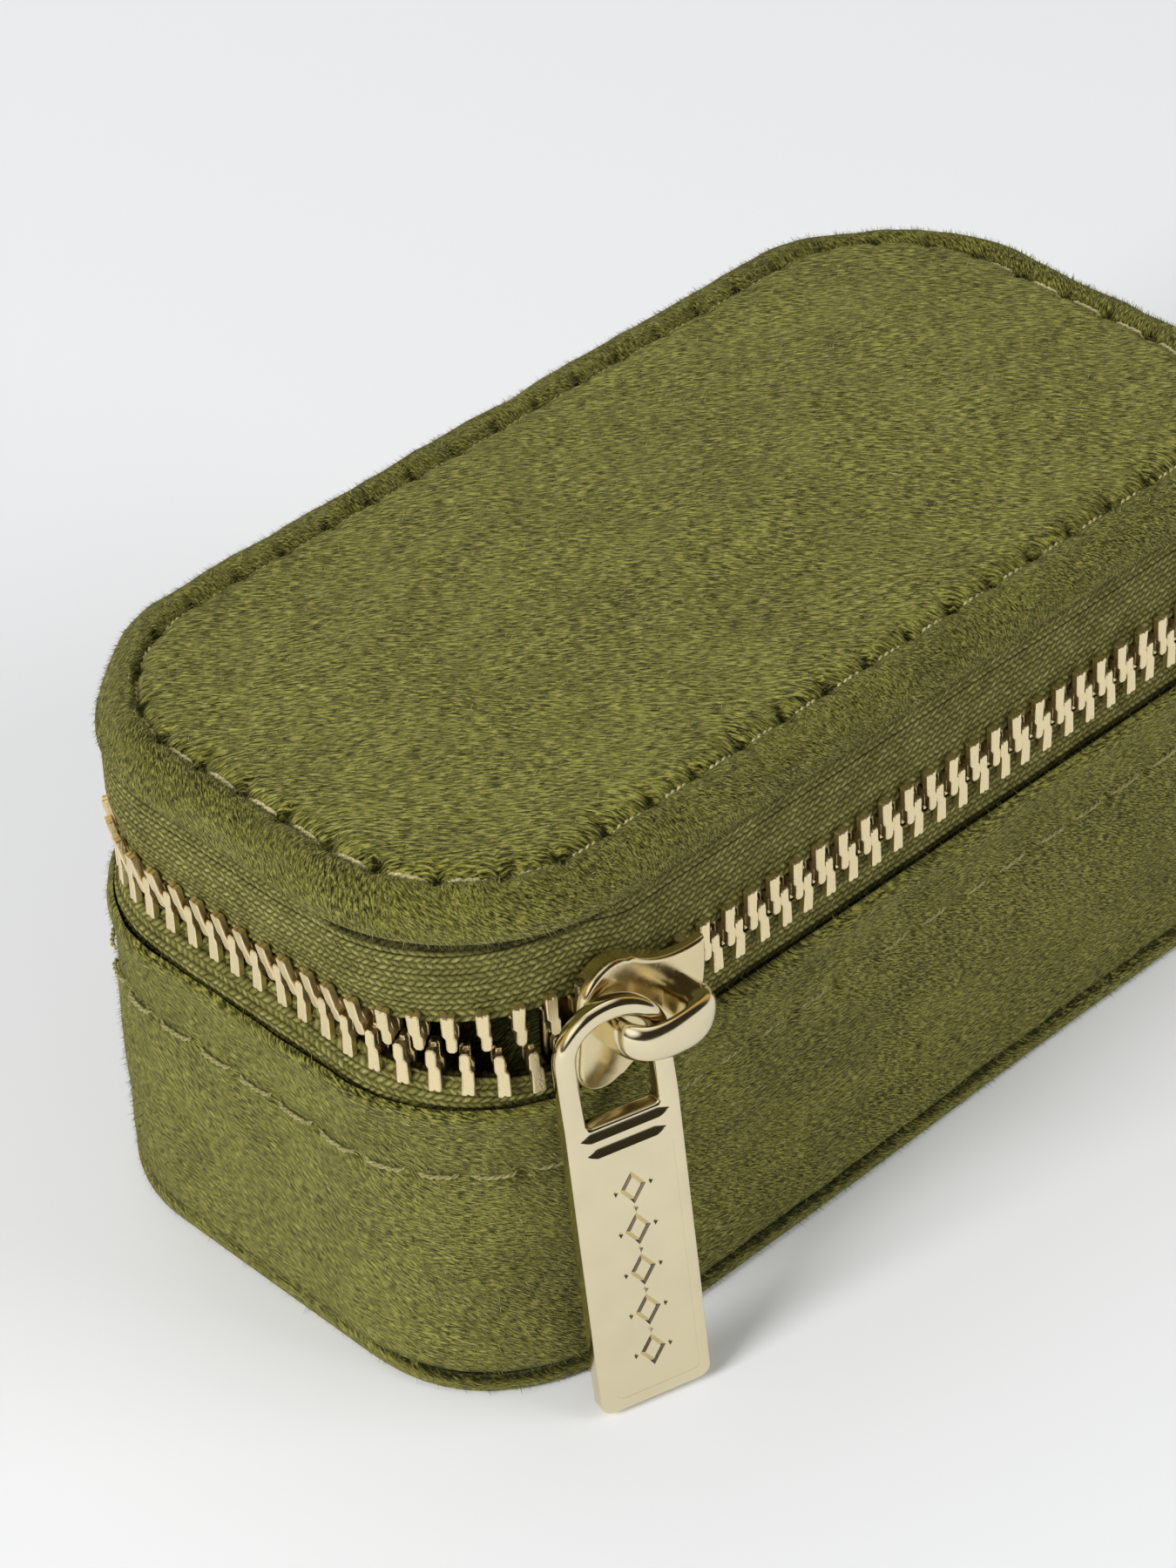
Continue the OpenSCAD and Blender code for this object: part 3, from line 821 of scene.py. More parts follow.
def weave(s, v):
    """Height of the tape's threads, 0 to 1: slanted ribs in rows that lean by turns."""
    rib, row_gap = 0.74, 0.62
    row = np.floor(v / row_gap)
    within = v / row_gap - row
    slant = 0.75 * (within - 0.5) * np.where(row % 2 > 0, 1, -1)
    phase = s / rib + 0.5 * (row % 2) + slant + 0.22 * lumps(s, v, 2.6, 14)
    across = np.abs(np.sin(math.pi * phase))
    chance = np.sin(np.floor(phase) * 12.9898 + row * 78.233) * 43758.5453
    uneven = 0.74 + 0.26 * (chance - np.floor(chance))
    return across**0.45 * np.sin(math.pi * within) ** 0.45 * uneven


def tape(name, side, body, node):
    """Woven tape with a corded edge that the teeth grip. side is 1 above the chain."""
    rows = np.arange(0, 9.75 if side > 0 else 10.7, 0.11)
    back_rows = rows[::-4]
    n, m = round(base_plan.zip_len / 0.15), len(rows) + len(back_rows)
    s = np.linspace(0, base_plan.zip_len, n)
    v = np.tile(np.concatenate([rows, back_rows]), (n, 1))
    face = np.where(np.arange(m) < len(rows), 1, -1)
    relief = weave(s[:, None], v)
    edge = CHAIN_Z + side * (TAPE_EDGE + row_lift(s))[:, None]
    z = np.minimum(edge + side * v, TAPE_TOP_Z)
    cord = 0.22 * np.exp(-((v / 0.75) ** 2))
    middle = BASE_R - TAPE_IN - TAPE_THK / 2 + 0.08 * lumps(s[:, None], v, 14, 13 + side)
    reach = middle + face * (TAPE_THK / 2 - 0.1 + 0.15 * relief + cord)
    slack = sag(s[:, None], z)
    crease = 0.26 * np.sin(z * 5.2 + 0.8 * lumps(s[:, None], z, 9, 17)) * (side < 0)
    points = base_plan.place(s, reach - slack - crease * np.minimum(slack, 1), z)
    corner = np.sin(2 * base_plan.at(s)[2][:, None]) ** 2
    # Painted shadow, carried in the mesh's value: a dark band under the lid's rim on the upper tape,
    # starting a little higher round the corners, and dark where the lower tape runs down to the
    # base's rolled edge.
    shaded = ease((z - 45.9 - 0.3 * corner) / 0.5) if side > 0 else ease((30.55 - z) / 0.3)
    flip = side < 0
    faces, uv = grid_faces(n, m, False, True, flip), grid_uv(s, v, False, True, flip)
    shape = Shape().add(points.reshape(-1, 3), faces, uv, value=relief * (1 - 0.7 * shaded))
    shape.ends(n, m, flip).make(name, TAPE, body, "zip_tape", [node])


def tooth():
    """An upper tooth: two legs that clamp the tape's cord, and a head that hooks to the side."""
    leg = [
        (-0.56, 2.86), (-0.5, 0.8), (-0.22, 0.42), (-0.2, -0.8), (0.0, -1.12), (0.44, -1.12),
        (0.66, -0.86), (0.68, 0.35), (0.5, 0.72), (0.54, 2.86), (0.42, 3.0), (0.12, 2.98),
        (0.0, 2.86), (-0.12, 2.98), (-0.44, 3.0),
    ]
    head = [
        (-0.44, 1.25), (-0.18, 0.4), (-0.16, -0.7), (0.02, -1.06), (0.4, -1.06), (0.6, -0.8),
        (0.62, 0.3), (0.44, 1.25),
    ]
    nib = [(-0.08, -1.38), (0.34, -1.38), (0.4, -0.95), (-0.14, -0.95)]
    solids = ((leg, 0.4, 1.12, 0.1), (leg, -1.12, -0.4, 0.1), (head, -0.45, 0.45, 0.05),
              (nib, -0.35, 0.35, 0.1))
    return joined(
        slab(line, [(edge, low), (0, low + edge), (0, high - edge), (edge, high)])
        for line, low, high, edge in solids
    )


def rotated(a, b, angle):
    """Two coordinates after a turn."""
    return a * math.cos(angle) - b * math.sin(angle), a * math.sin(angle) + b * math.cos(angle)


def teeth(name, side, body, node):
    """A row of teeth, each set a little unevenly, leaning with the loose tape."""
    count = int((base_plan.zip_len - 2 * ROW_MARGIN) // TOOTH_PITCH)
    first = (base_plan.zip_len - count * TOOTH_PITCH) / 2 + (0 if side > 0 else TOOTH_PITCH / 2)
    rng = np.random.default_rng(21 + side)
    one, half_leg, row = tooth(), 1.4, []
    for k in range(count):
        s = first + k * TOOTH_PITCH
        x, y, angle = (float(v[0]) for v in base_plan.at(np.array([s])))
        out = np.array([math.cos(angle), math.sin(angle), 0])
        across = np.array([-out[1], out[0], 0])
        u, v, w = (np.vstack(one.points) * [side, side, 1]).T
        u, v = rotated(u, v, rng.normal(0, 0.025))
        middle = CHAIN_Z + side * (float(row_lift(s)) + half_leg)
        lean = math.atan(float(sag(s, middle - 0.5) - sag(s, middle + 0.5)))
        v, w = rotated(v - side * half_leg, w + rng.normal(0, 0.03), lean)
        place = np.array([x, y, middle]) + (BASE_R - TOOTH_IN - float(sag(s, middle))) * out
        local = np.column_stack([u, w, v])
        row.append(one.placed(place + local @ [across, out, [0, 0, 1]]))
    joined(row).make(name, TOOTH_METAL, body, "zip_metal", [node], crease=25)


# ---- Slider and pull ----

SLIDER_TILT = math.radians(-7.0)
SLIDER_FRAME = np.array([[1, 0, 0], [0, 0, -1], [0, 1, 0]])  # plate's own axes to the case's


def on_slider(points):
    """From the slider's own frame, whose third axis points out of the case."""
    return points @ SLIDER_FRAME.T + [SLIDER_X, 0, SLIDER_Z]


def slider_half():
    """Upper half of the plate's outline, from the nose over the hollow taper to the shoulder."""
    end_x, waist, top, hollow_r, r = -7.1, 3.85, 6.2, 11, 3.25
    taper = arc(4.4, waist + hollow_r, hollow_r, -79, -125, 16)
    return np.vstack([taper, arc(end_x + r, top - r, r, 62, 180, 18)])


def tilted(line):
    """The plate hangs a little nose-down on the tape."""
    return np.column_stack(rotated(*np.asarray(line, float).T, SLIDER_TILT))


def flange_outline(limit, sign):
    """The lip that wraps round the tape's cord: between the plate's edge and the channel."""
    u, v = (tilted(slider_half() * [1, sign]) * [1, sign]).T
    channel = np.interp(-u, [-9.0, -1.5, 8.5], [3.3, 3.3, 6.0])
    edge = np.minimum(v - 0.05, limit)
    keep = edge > channel + 0.45
    outer, inner = np.column_stack([u, edge])[keep], np.column_stack([u, channel])[keep]
    line = np.vstack([outer, inner[::-1]])
    return line if sign > 0 else (line * [1, -1])[::-1]


def slider_casting():
    half = slider_half()
    back_half = np.column_stack([half[:, 0], np.minimum(half[:, 1], 5.35)])
    front, back = (np.vstack([h, (h * [1, -1])[::-1]]) for h in (half, back_half))
    nose = [(6.5 + 0.45 * (1 - (v / 4.05) ** 2), v) for v in np.linspace(-3.6, 3.6, 9)]
    wedge = [(-6.9, -0.45), (-3.9, -0.12), (-3.9, 0.12), (-6.9, 0.45)]
    parts = [
        slab(tilted(np.vstack([front, nose])), rounded_rings(27.4, PLATE_OUT, 0.08, 0.42, 6)),
        slab(back, rounded_rings(23.3, BACK_PLATE_OUT, 0.25, 0.2, 4)),
        slab(wedge, [(0, 23.6), (0, 28.0)]),
    ]
    for sign in (1, -1):
        parts.append(slab(flange_outline(9, sign), [(0.12, 26.55), (0, 26.67), (0, 27.9)]))
        parts.append(slab(flange_outline(5.3, sign), [(0, 23.7), (0, 24.58), (0.12, 24.68)]))
    shape = joined(parts)
    shape.points = [on_slider(p) for p in shape.points]
    shape.make("slider_casting", GOLD_SLIDER, "slider", "gold_metal", ["slider_body"], crease=40)


def slider_bridge():
    """The bridge that holds the pull: a narrow foot, a band over the pull, a thick broad root."""
    outer = [
        (-4.7, 28.0), (-4.95, 29.6), (-4.8, 31.2), (-3.8, 32.5), (-1.9, 33.15), (0.6, 33.25),
        (2.6, 33.0), (4.0, 32.3), (4.75, 31.1), (4.9, 29.5), (4.8, 28.0),
    ]
    inner = [
        (-3.7, 28.0), (-3.85, 29.5), (-3.7, 30.7), (-3.0, 31.6), (-1.6, 32.1), (0.0, 32.15),
        (0.9, 31.8), (1.5, 31.2), (1.85, 30.3), (2.0, 29.2), (2.1, 28.0),
    ]
    outer, inner = curve_through(outer, 7), curve_through(inner, 7)
    n, sides = len(outer), 32
    t = np.linspace(0, 1, n)
    width = 3.3 + 0.9 * ease((t - 0.25) / 0.35) - 0.9 * ease((t - 0.7) / 0.25)
    across, deep = squarish(np.arange(sides) * math.tau / sides, 2 / 2.8)
    bulge = 0.28 * (1 - across**2) * (deep > 0) - 0.14
    share = (0.5 + deep / 2)[:, None]
    line = inner[:, None] * (1 - share) + outer[:, None] * share
    line = line + unit(outer - inner)[:, None] * bulge[:, None]
    flat = tilted(np.column_stack([line[..., 0].ravel(), np.outer(width / 2, across).ravel()]))
    points = np.column_stack([flat, line[..., 1].ravel()])
    shape = Shape().add(points, grid_faces(n, sides, False, True)).ends(n, sides, True)
    shape.points = [on_slider(points)]
    shape.make("slider_bridge", GOLD, "slider", "gold_metal", ["slider_crown"], crease=60)


def tab_line(half, centre, head, shoulder, foot, r, counts):
    """A counter-clockwise line in the tab's plane: an oval head, straight sides from the
    shoulder down, a foot with rounded corners. counts are the points of each kind of stretch."""
    around, along, turn = counts
    a, side = np.linspace(0, math.pi, around), np.linspace(shoulder, r - foot, along)
    return np.vstack([
        np.column_stack([half * np.cos(a), centre + head * np.sin(a)]),
        np.column_stack([np.full(along, -half), side])[:-1],
        arc(r - half, r - foot, r, 180, 270, turn),
        arc(half - r, r - foot, r, 270, 360, turn),
        np.column_stack([np.full(along, half), side[::-1]])[1:],
    ])


def pull_tab():
    """Long tab: a rounded ring at the top, two grooves under its window, a fine frame line and
    a column of lozenges."""
    half, top, crease = PULL_WID / 2, 1.85, 32
    outline = tab_line(half, -half, half, -half - 1.2, PULL_LEN, 1.2, (49, 24, 9))
    hole = half - 1.85
    head = 0.86 * hole
    window = tab_line(hole, -top - head, head, -top - hole, 11.4, 0.5, (33, 8, 6))[::-1]

    def rounding(line):
        return 0.36 + 0.34 * ease((line[:, 1] + 11.5) / 5)

    solid = slab(outline, rounded_rings(-PULL_THK, 0, 1, 1, 7), [window], rounding=rounding)
    tab = solid.make("pull_tab_fine", GOLD, None, "gold_metal", crease=crease)
    for cutter in pull_cuts():
        cut = tab.modifiers.new("cut", "BOOLEAN")
        cut.object, cut.operation, cut.solver = cutter, "DIFFERENCE", "EXACT"
        bpy.context.view_layer.update()
        result = tab.evaluated_get(bpy.context.evaluated_depsgraph_get())
        mesh = bpy.data.meshes.new_from_object(result)
        tab.modifiers.clear()
        tab.data = mesh
        bpy.data.objects.remove(cutter)
    mesh.shade_smooth()
    mesh.set_sharp_from_angle(angle=math.radians(crease))
    turns = ((PULL_TURN, "Z"), (-PULL_LEAN, "X"), (-PULL_ROLL, "Y"), (90, "X"))
    hung = Matrix.Translation(Vector(PULL_TOP) * MM)
    for degrees, axis in turns:
        hung = hung @ Matrix.Rotation(math.radians(degrees), 4, axis)
    mesh.transform(hung)
    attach(tab, "pull")
    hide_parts("pull_tab")


def pull_cuts():
    """What is cut from the tab's front: grooves, lozenges and dots, frame line, slanted edge."""
    grooves, marks, line, edge = (Shape() for _ in range(4))
    for down, half in ((12.15, 4.05), (13.85, 3.6)):
        x = np.linspace(-half, half, 33)
        add_groove(grooves, x, -down, np.clip((half - np.abs(x)) / 0.9, 0.02, 1) ** 0.7)
    count, pitch, wide, high = 5, 4.3, 0.95, 1.35
    for k in range(count):
        y = -18.6 - pitch * k
        add_line(marks, [(wide, y), (0, y + high), (-wide, y), (0, y - high)], 0.2, 0.2, True)
        add_dot(marks, -1.6, y, 0.36)
        add_dot(marks, 1.6, y, 0.36)
        if k < count - 1:
            add_dot(marks, 0, y - pitch / 2, 0.42)
    add_frame_line(line)
    left, slant, out = -PULL_WID / 2, 1.35, 0.4
    ends = [(left + slant, 0.0), (left + slant, out), (left - out, out), (left - out, -0.17)]
    wedge = np.array([(x, y, z) for y in (-15.2, -PULL_LEN - 0.6) for x, z in ends])
    sides = [[k, (k + 1) % 4, (k + 1) % 4 + 4, k + 4] for k in range(4)]
    add_closed(edge, wedge, [*sides, [3, 2, 1, 0], [4, 5, 6, 7]])
    return [s.make("pull_cut", GOLD, smooth=False) for s in (grooves, marks, line, edge)]


def add_closed(shape, points, *groups):
    """Adds a closed solid, turned the right way out."""
    points, groups = np.asarray(points, float), [np.asarray(g) for g in groups]
    fan = np.vstack([g[:, [0, k, k + 1]] for g in groups for k in range(1, g.shape[1] - 1)])
    a, b, c = (points[column] for column in fan.T)
    if (a * np.cross(b, c)).sum() < 0:
        groups = [g[:, ::-1] for g in groups]
    shape.add(points, groups[0])
    for group in groups[1:]:
        shape.more(group)


def add_groove(shape, x, y, size):
    """A groove along x with a steep upper side and a long lower one, tapering to its ends."""
    across, up = np.array([
        (0.62, 0.4), (0.56, 0.0), (0.5, -0.34), (0.36, -0.44), (0.1, -0.4), (-0.3, -0.22),
        (-0.6, 0.02), (-0.72, 0.4),
    ]).T
    n, m, size = len(x), len(up), size[:, None]
    columns = [x[:, None] + 0 * up, y + across * size, np.where(up < 0, up * size, up)]
    caps = [np.arange(m)[::-1], (n - 1) * m + np.arange(m)]
    add_closed(shape, np.stack(columns, -1).reshape(-1, 3), grid_faces(n, m, False, True), caps)


def add_dot(shape, x, y, size, depth=0.16):
    """A four-sided pit, widest at the face."""
    ring = [(size * 0.72, 0), (0, size), (-size * 0.72, 0), (0, -size)]
    points = [(x + 1.2 * a, y + 1.2 * b, 0.2 * depth) for a, b in ring] + [(x, y, -depth)]
    add_closed(shape, points, [[0, 1, 2, 3]], [[(k + 1) % 4, k, 4] for k in range(4)])


def add_frame_line(shape):
    """A hairline V down the tab's right side and along its foot."""
    half, low, high, r = PULL_WID / 2 - 1.05, 1.25 - PULL_LEN, -15.6, 0.7
    corner = arc(half - r, low + r, r, 0, -90, 8)
    tail = [(1.1 - half, low), (0.7 - half, low + 0.12), (0.45 - half, low + 0.45)]
    add_line(shape, np.vstack([[(half, high)], corner, tail]), 0.06, 0.05)


def add_line(shape, line, half, depth, looped=False):
    """A V-shaped cut along a line, or round a counter-clockwise loop."""
    line = np.asarray(line, float)
    n = len(line)
    if looped:
        side = -miter(line)
    else:
        along = unit(np.gradient(line, axis=0))
        side = np.column_stack([-along[:, 1], along[:, 0]])
    edge, above = 1.2 * half, 0.2 * depth
    points = np.stack([
        np.column_stack([line + side * across, np.full(n, level)])
        for across, level in ((-edge, above), (edge, above), (0.0, -depth))
    ], 1).reshape(-1, 3)
    caps = [] if looped else [[[0, 2, 1], [3 * n - 3, 3 * n - 2, 3 * n - 1]]]
    add_closed(shape, points, grid_faces(n, 3, looped, True), *caps)


# ---- Fabric hinge ----


def hinge_strip(name, material, slot, inset, thk, low, high, nodes, seed, wrinkle):
    """A strip of velour between the base and the lid along the back, drawn in a little along its fold
    line. Returns its outside, for the pile."""
    half, n, rows = base_plan.cx + 0.6, 170, 64
    m = 2 * rows
    x, up = np.linspace(half, -half, n), np.linspace(low, high, rows)
    x, z = np.meshgrid(x, np.concatenate([up, up[::-1]]), indexing="ij")
    outside = np.arange(m) < rows
    fold = np.exp(-(((z - CHAIN_Z) / 1.1) ** 2))
    edge = np.minimum(half - np.abs(x), 1.5) / 1.5
    rough = 0.6 * lumps(x, z, 9, seed) + 0.4 * lumps(x, 3 * z, 6, seed + 1)
    y = CASE_WID / 2 - inset - thk * ~outside - 0.22 * fold * outside + wrinkle * rough * edge
    points = np.stack([x, y, z], -1).reshape(-1, 3)
    stretch = 1.2 * max(inset - 0.8, 0.0) * ease((z - CHAIN_Z) / (2 * FOLD_HALF) + 0.5)
    uv = grid_uv(-x[:, 0], z + stretch, False, True)
    shape = Shape().add(points, grid_faces(n, m, False, True), uv).ends(n, m)
    obj = shape.make(name, material, None, slot, nodes)
    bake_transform(obj)
    return points, grid_band(n, m, 0, rows - 1, closed=False)


# ---- Lid ----


LID_COLUMNS = 700  # columns of points round the lid's panel and its rim


def lid_drop(y):
    """The lid sits a little lower towards the hinge."""
    return 0.3 * ease((y + 8) / 30)


def lid_height(inset, x, y):
    """The padded panel's height: steep beside the stitched valley, then a low dome."""
    d = np.maximum(inset - VALLEY_IN, 0)
    swell = 1.3 * (1 - np.exp(-d / 0.8)) + 1.0 * ease(d / 23)
    return VALLEY_Z + swell - lid_drop(y) + 0.10 * lumps(x, y, 17, 31) * ease(d / 4)


def lid_stitch(s, insets):
    """How far the stitches draw the cloth down, most at their needle holes, and the painted shade at
    their needle holes, at each length along the row and each inset."""
    off, s = insets[None] - VALLEY_IN, s[:, None]
    pull = 0.85 * holes_of(lid_plan, s, 0.42) * np.exp(-((off / 1.15) ** 2))
    painted_hole_shade = holes_of(lid_plan, s, 0.3) * np.exp(-((off / 0.75) ** 2))
    return pull + 0.12 * np.exp(-((off / 0.5) ** 2)), painted_hole_shade


def lid_panel():
    """The padded panel inside the stitched row. Returns its outside, for the pile."""
    count = LID_COLUMNS
    s = lid_plan.steps(count)
    insets = VALLEY_IN + np.concatenate([np.linspace(0, 1.6, 11), np.linspace(2.0, 7.0, 11)])
    top = lid_plan.place(s, (LID_R - insets)[None], 0.0)
    pull, painted_hole_shade = lid_stitch(s, insets)
    top[..., 2] = lid_height(insets[None], top[..., 0], top[..., 1]) - pull
    under = np.array([(6.0, 47.95), (4.5, 47.95), (4.1, 48.6)])  # inset and height
    low = lid_plan.place(s, LID_R - under[None, :, 0], under[None, :, 1])
    points = np.concatenate([low, top], 1)
    m = points.shape[1]
    first = np.arange(count) * m

    def level(x, y):
        return lid_height(lid_plan.inset(x, y), x, y)

    points, upper = fill(points.reshape(-1, 3), [first + m - 1], level, 1.1, True)
    points, lower = fill(points, [first], None, 4.0, False)
    # Painted shade at the needle holes, carried in the mesh's value.
    shade = np.pad(painted_hole_shade, ((0, 0), (len(under), 0))).ravel()
    shade = np.pad(shade, (0, len(points) - shade.size))
    shape = Shape().add(points, grid_faces(count, m, True), value=shade)
    shape.more(np.vstack([upper, lower]))
    nodes = ["lid_cover", "lid_padding"]
    panel = shape.make("lid_panel_velour", VELOUR_TOP, "lid", "velour", nodes)
    return [(points, grid_band(count, m, len(under), m - 1)), (points, upper)]


def lid_rim():
    """The rolled rim outside the stitched row. Returns its outside, for the pile."""
    control = [
        (15.5, 47.8), (16.6, 47.62), (17.4, 47.3), (17.95, 47.5), (18.2, 48.2), (18.22, 49.1),
        (18.0, 50.05), (17.45, 50.9), (16.7, 51.5), (15.9, 51.75), (15.2, 51.62), (14.75, 51.25),
        (14.4, 50.85), (14.45, 49.6), (14.9, 48.4),
    ]
    line = curve_through(control, closed=True)
    count, m = LID_COLUMNS, len(line)
    s = lid_plan.steps(count)
    reach, z = (np.tile(v, (count, 1)) for v in line.T)
    outer = ease((z - 47.6) / 0.8) * ease((reach - 14.5) / 1.2)
    relief = 0.12 * lumps(s[:, None], 3 * z, 9, 41) + 0.06 * lumps(s[:, None], 2 * z, 4, 42)
    middle_r, middle_z = 14.9, 48.0
    gap = np.hypot(reach - middle_r, z - middle_z) + 1e-6
    swell = relief * outer / gap
    reach, z = reach + swell * (reach - middle_r), z + swell * (z - middle_z)
    pull, painted_hole_shade = lid_stitch(s, LID_R - line[:, 0])
    surface = ease((z - 49.8) / 0.8)
    angle = lid_plan.at(s)[2][:, None]
    back_corner = np.sin(2 * angle) ** 2 * ease(2 * np.sin(angle))
    points = lid_plan.place(s, reach - 0.65 * back_corner * outer, z - surface * pull)
    points[..., 2] -= lid_drop(points[..., 1]) * ease((points[..., 2] - 47.8) / 2)
    uv = grid_uv(np.append(s, lid_plan.ring_len), run_length(points), True, True)
    points = points.reshape(-1, 3)
    # Painted shade at the needle holes on the rim's top, carried in the mesh's value.
    shape = Shape().add(points, grid_faces(count, m, True, True), uv, value=surface * painted_hole_shade)
    shape.make("lid_rim_velour", VELOUR_RIM, "lid", "velour", ["lid_rim"])
    return points, grid_band(count, m, PROFILE_STEPS, 12 * PROFILE_STEPS)


# ---- Inside ----


def soft_slab(name, outline, high, crown, slot, node):
    """A padded slab with rounded edges and a crowned top."""
    edge = 0.8

    def level(x, y):
        inwards = gaps(np.column_stack([x, y]), outline) - edge
        return high + crown * ease(inwards / 6) + 0.05 * lumps(x, y, 8, 51)

    shape = slab(outline, rounded_rings(PAD_Z, high, edge / 2, edge, 6), top=level, spacing=1.2)
    shape.make(name, VELOUR_LINING, "base", slot, [node])


def cavity_outline(inset, low_x, high_x):
    """The cavity's outline between two places along the case."""
    s = base_plan.steps(round(base_plan.ring_len / 0.7))
    line = base_plan.place(s, base_plan.r - inset, 0.0)[:, 0, :2]
    line = line[(line[:, 0] > low_x) & (line[:, 0] < high_x)]
    y = np.linspace(inset - CASE_WID / 2, CASE_WID / 2 - inset, 40)
    cuts = [x for x in (low_x, high_x) if abs(x) < CASE_LEN / 2 - inset - 1]
    line = np.vstack([line, *(np.column_stack([np.full(len(y), x), y]) for x in cuts)])
    middle = (max(low_x, -48) + min(high_x, 48)) / 2
    return line[np.argsort(np.arctan2(line[:, 1], line[:, 0] - middle))]


def ring_cushion(k):
    """A stuffed roll: domed ends gathered to a seam, flattened where it meets its neighbours."""
    x0 = DIVIDER_X - 1.6 - ROLL_R - (ROLL_COUNT - k) * (2 * ROLL_R + 0.4)
    cavity = BASE_R - INNER_IN - 0.3
    past = max(0.0, abs(x0) + ROLL_R - base_plan.cx)
    half = base_plan.cy + math.sqrt(cavity**2 - past**2) - 0.3
    t, sides = np.linspace(0, math.pi, 49), 48
    y, swell = -half * squarish(t, 0.55)[0], np.abs(np.sin(t)) ** 0.42
    around = np.arange(sides) * math.tau / sides
    across, height = squarish(around, 2 / 2.35)
    yy, aa = np.meshgrid(y, around, indexing="ij")
    gather = 1 - 0.05 * np.cos(aa * 12) * (1 - swell[:, None] ** 2)
    r = ROLL_R * swell[:, None] * gather * (0.985 + 0.015 * lumps(yy, 5 * aa, 9, 60 + k))
    points = np.stack([x0 + r * across, yy, BLOCK_Z + ROLL_R + 0.1 + r * height], -1)
    uv = grid_uv(y, aa * ROLL_R, False, True, True)
    faces = grid_faces(len(y), sides, False, True, True)
    shape = Shape().add(points.reshape(-1, 3), faces, uv)
    name, node = f"ring_cushion_{k}", f"ring_roll_{k}"
    shape.make(name, VELOUR_LINING, "base", "lining_velour", [node])


def wall(name, xs, ys, low, node):
    """A velour-wrapped divider with a rounded top edge."""
    corners = np.array([(xs[0], ys[0]), (xs[1], ys[0]), (xs[1], ys[1]), (xs[0], ys[1])])
    outline = np.vstack([
        np.linspace(a, b, max(2, round(math.dist(a, b) / 0.8)), endpoint=False)
        for a, b in zip(corners, np.roll(corners, -1, 0))
    ])
    rings = [(0.05, low)] + [(0.0, z) for z in np.linspace(low + 0.5, DIVIDER_Z - 0.8, 14)]
    bend = np.linspace(0, math.pi / 2, 6)[1:]
    rings += [(0.62 * (1 - math.cos(a)), DIVIDER_Z - 0.72 * (1 - math.sin(a))) for a in bend]
    slab(outline, rings).make(name, VELOUR_LINING, "base", "lining_velour", [node], crease=50)


def inside_pieces():
    block = cavity_outline(INNER_IN + 0.5, -60, DIVIDER_X - 0.3)
    soft_slab("ring_block_soft", block, BLOCK_Z, 0.0, "foam", "ring_block")
    for k in range(1, ROLL_COUNT + 1):
        ring_cushion(k)
    floor = cavity_outline(INNER_IN + 0.3, DIVIDER_X + DIVIDER_THK, 60)
    soft_slab("floor_cushion", floor, PAD_Z + 1.3, 0.45, "lining_velour", "floor_pad")
    end, side = (size / 2 - INNER_IN - 0.25 for size in (CASE_LEN, CASE_WID))
    far, half = DIVIDER_X + DIVIDER_THK, DIVIDER_THK / 2
    wall("divider_cross_velour", (DIVIDER_X, far - 0.1), (-side, side), PAD_Z, "divider_cross")
    wall("divider_long_velour", (far, end), (-half, half), PAD_Z + 1.7, "divider_long")


# ---- Build ----


def across_top(normal):
    """The lid's pile lies towards the front, a little to the right."""
    return np.broadcast_to([0.77, -0.64, 0.0], normal.shape)


def down_wall(normal):
    """The walls' pile lies along them to the right, and a little downwards."""
    return [0, 0, -0.5] - np.cross(normal, [0, 0, 1.0])


def build_pieces():
    wall_skin = base_wall()
    bottom_skin = bottom_panel()
    base_lining()
    inside_pieces()
    stitch_row("base_stitches", wall_plan, 15.7, BASE_STITCH_Z, True, 0.15, 0.45, THREAD_BASE,
               "base", "base_stitching", 71)
    tape("tape_lower_woven", -1, "base", "zip_tape_lower")
    tape("tape_upper_woven", 1, "lid", "zip_tape_upper")
    teeth("teeth_lower_cast", -1, "base", "zip_teeth_lower")
    teeth("teeth_upper_cast", 1, "lid", "zip_teeth_upper")
    back_strip = ["back_strip_lower", "back_strip_fold", "back_strip_upper"]
    strip_skin = hinge_strip("hinge_strip_velour", VELOUR_WALL, "velour", 0.3, 1.0, 27.6, 47.0,
                             back_strip, 81, 0.07)
    hinge_strip("hinge_strip_inner", VELOUR_LINING, "lining_velour", 3.8, 0.7, 30.6, 41.8,
                ["hinge_lining"], 85, 0.05)
    panel_skin = lid_panel()
    rim_skin = lid_rim()
    lid_lining()
    stitch_row("lid_stitches", lid_plan, LID_R - VALLEY_IN, VALLEY_Z - 0.1, False, 0.23, 0.75,
               THREAD_LID, "lid", "lid_stitching", 72)
    slider_casting()
    slider_bridge()
    pull_tab()
    pile_fibres("pile_lid_panel", panel_skin, 49000, "lid", across_top, 91, 0.62, 0.065, 76)
    pile_fibres("pile_lid_rim", [rim_skin], 34000, "lid", down_wall, 92, 0.62, 0.062, 56)
    pile_fibres("pile_base_wall", [wall_skin, bottom_skin], 49500, "base", down_wall, 93,
                0.68, 0.066, 58, floor=0.02)
    strip_pile = pile_fibres("pile_hinge_strip", [strip_skin], 9000, None, down_wall, 94)
    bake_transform(strip_pile)


def paint_carried_nodes():
    boards = ("bottom_board", "base_wall_board", "lid_wall_board", "lid_top_board")
    for node, material in [(board, BOARD) for board in boards] + [("zip_end_stops", TOOTH_METAL)]:
        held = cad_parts[node].data.materials
        held.clear()
        held.append(material)


# ---- Studio ----


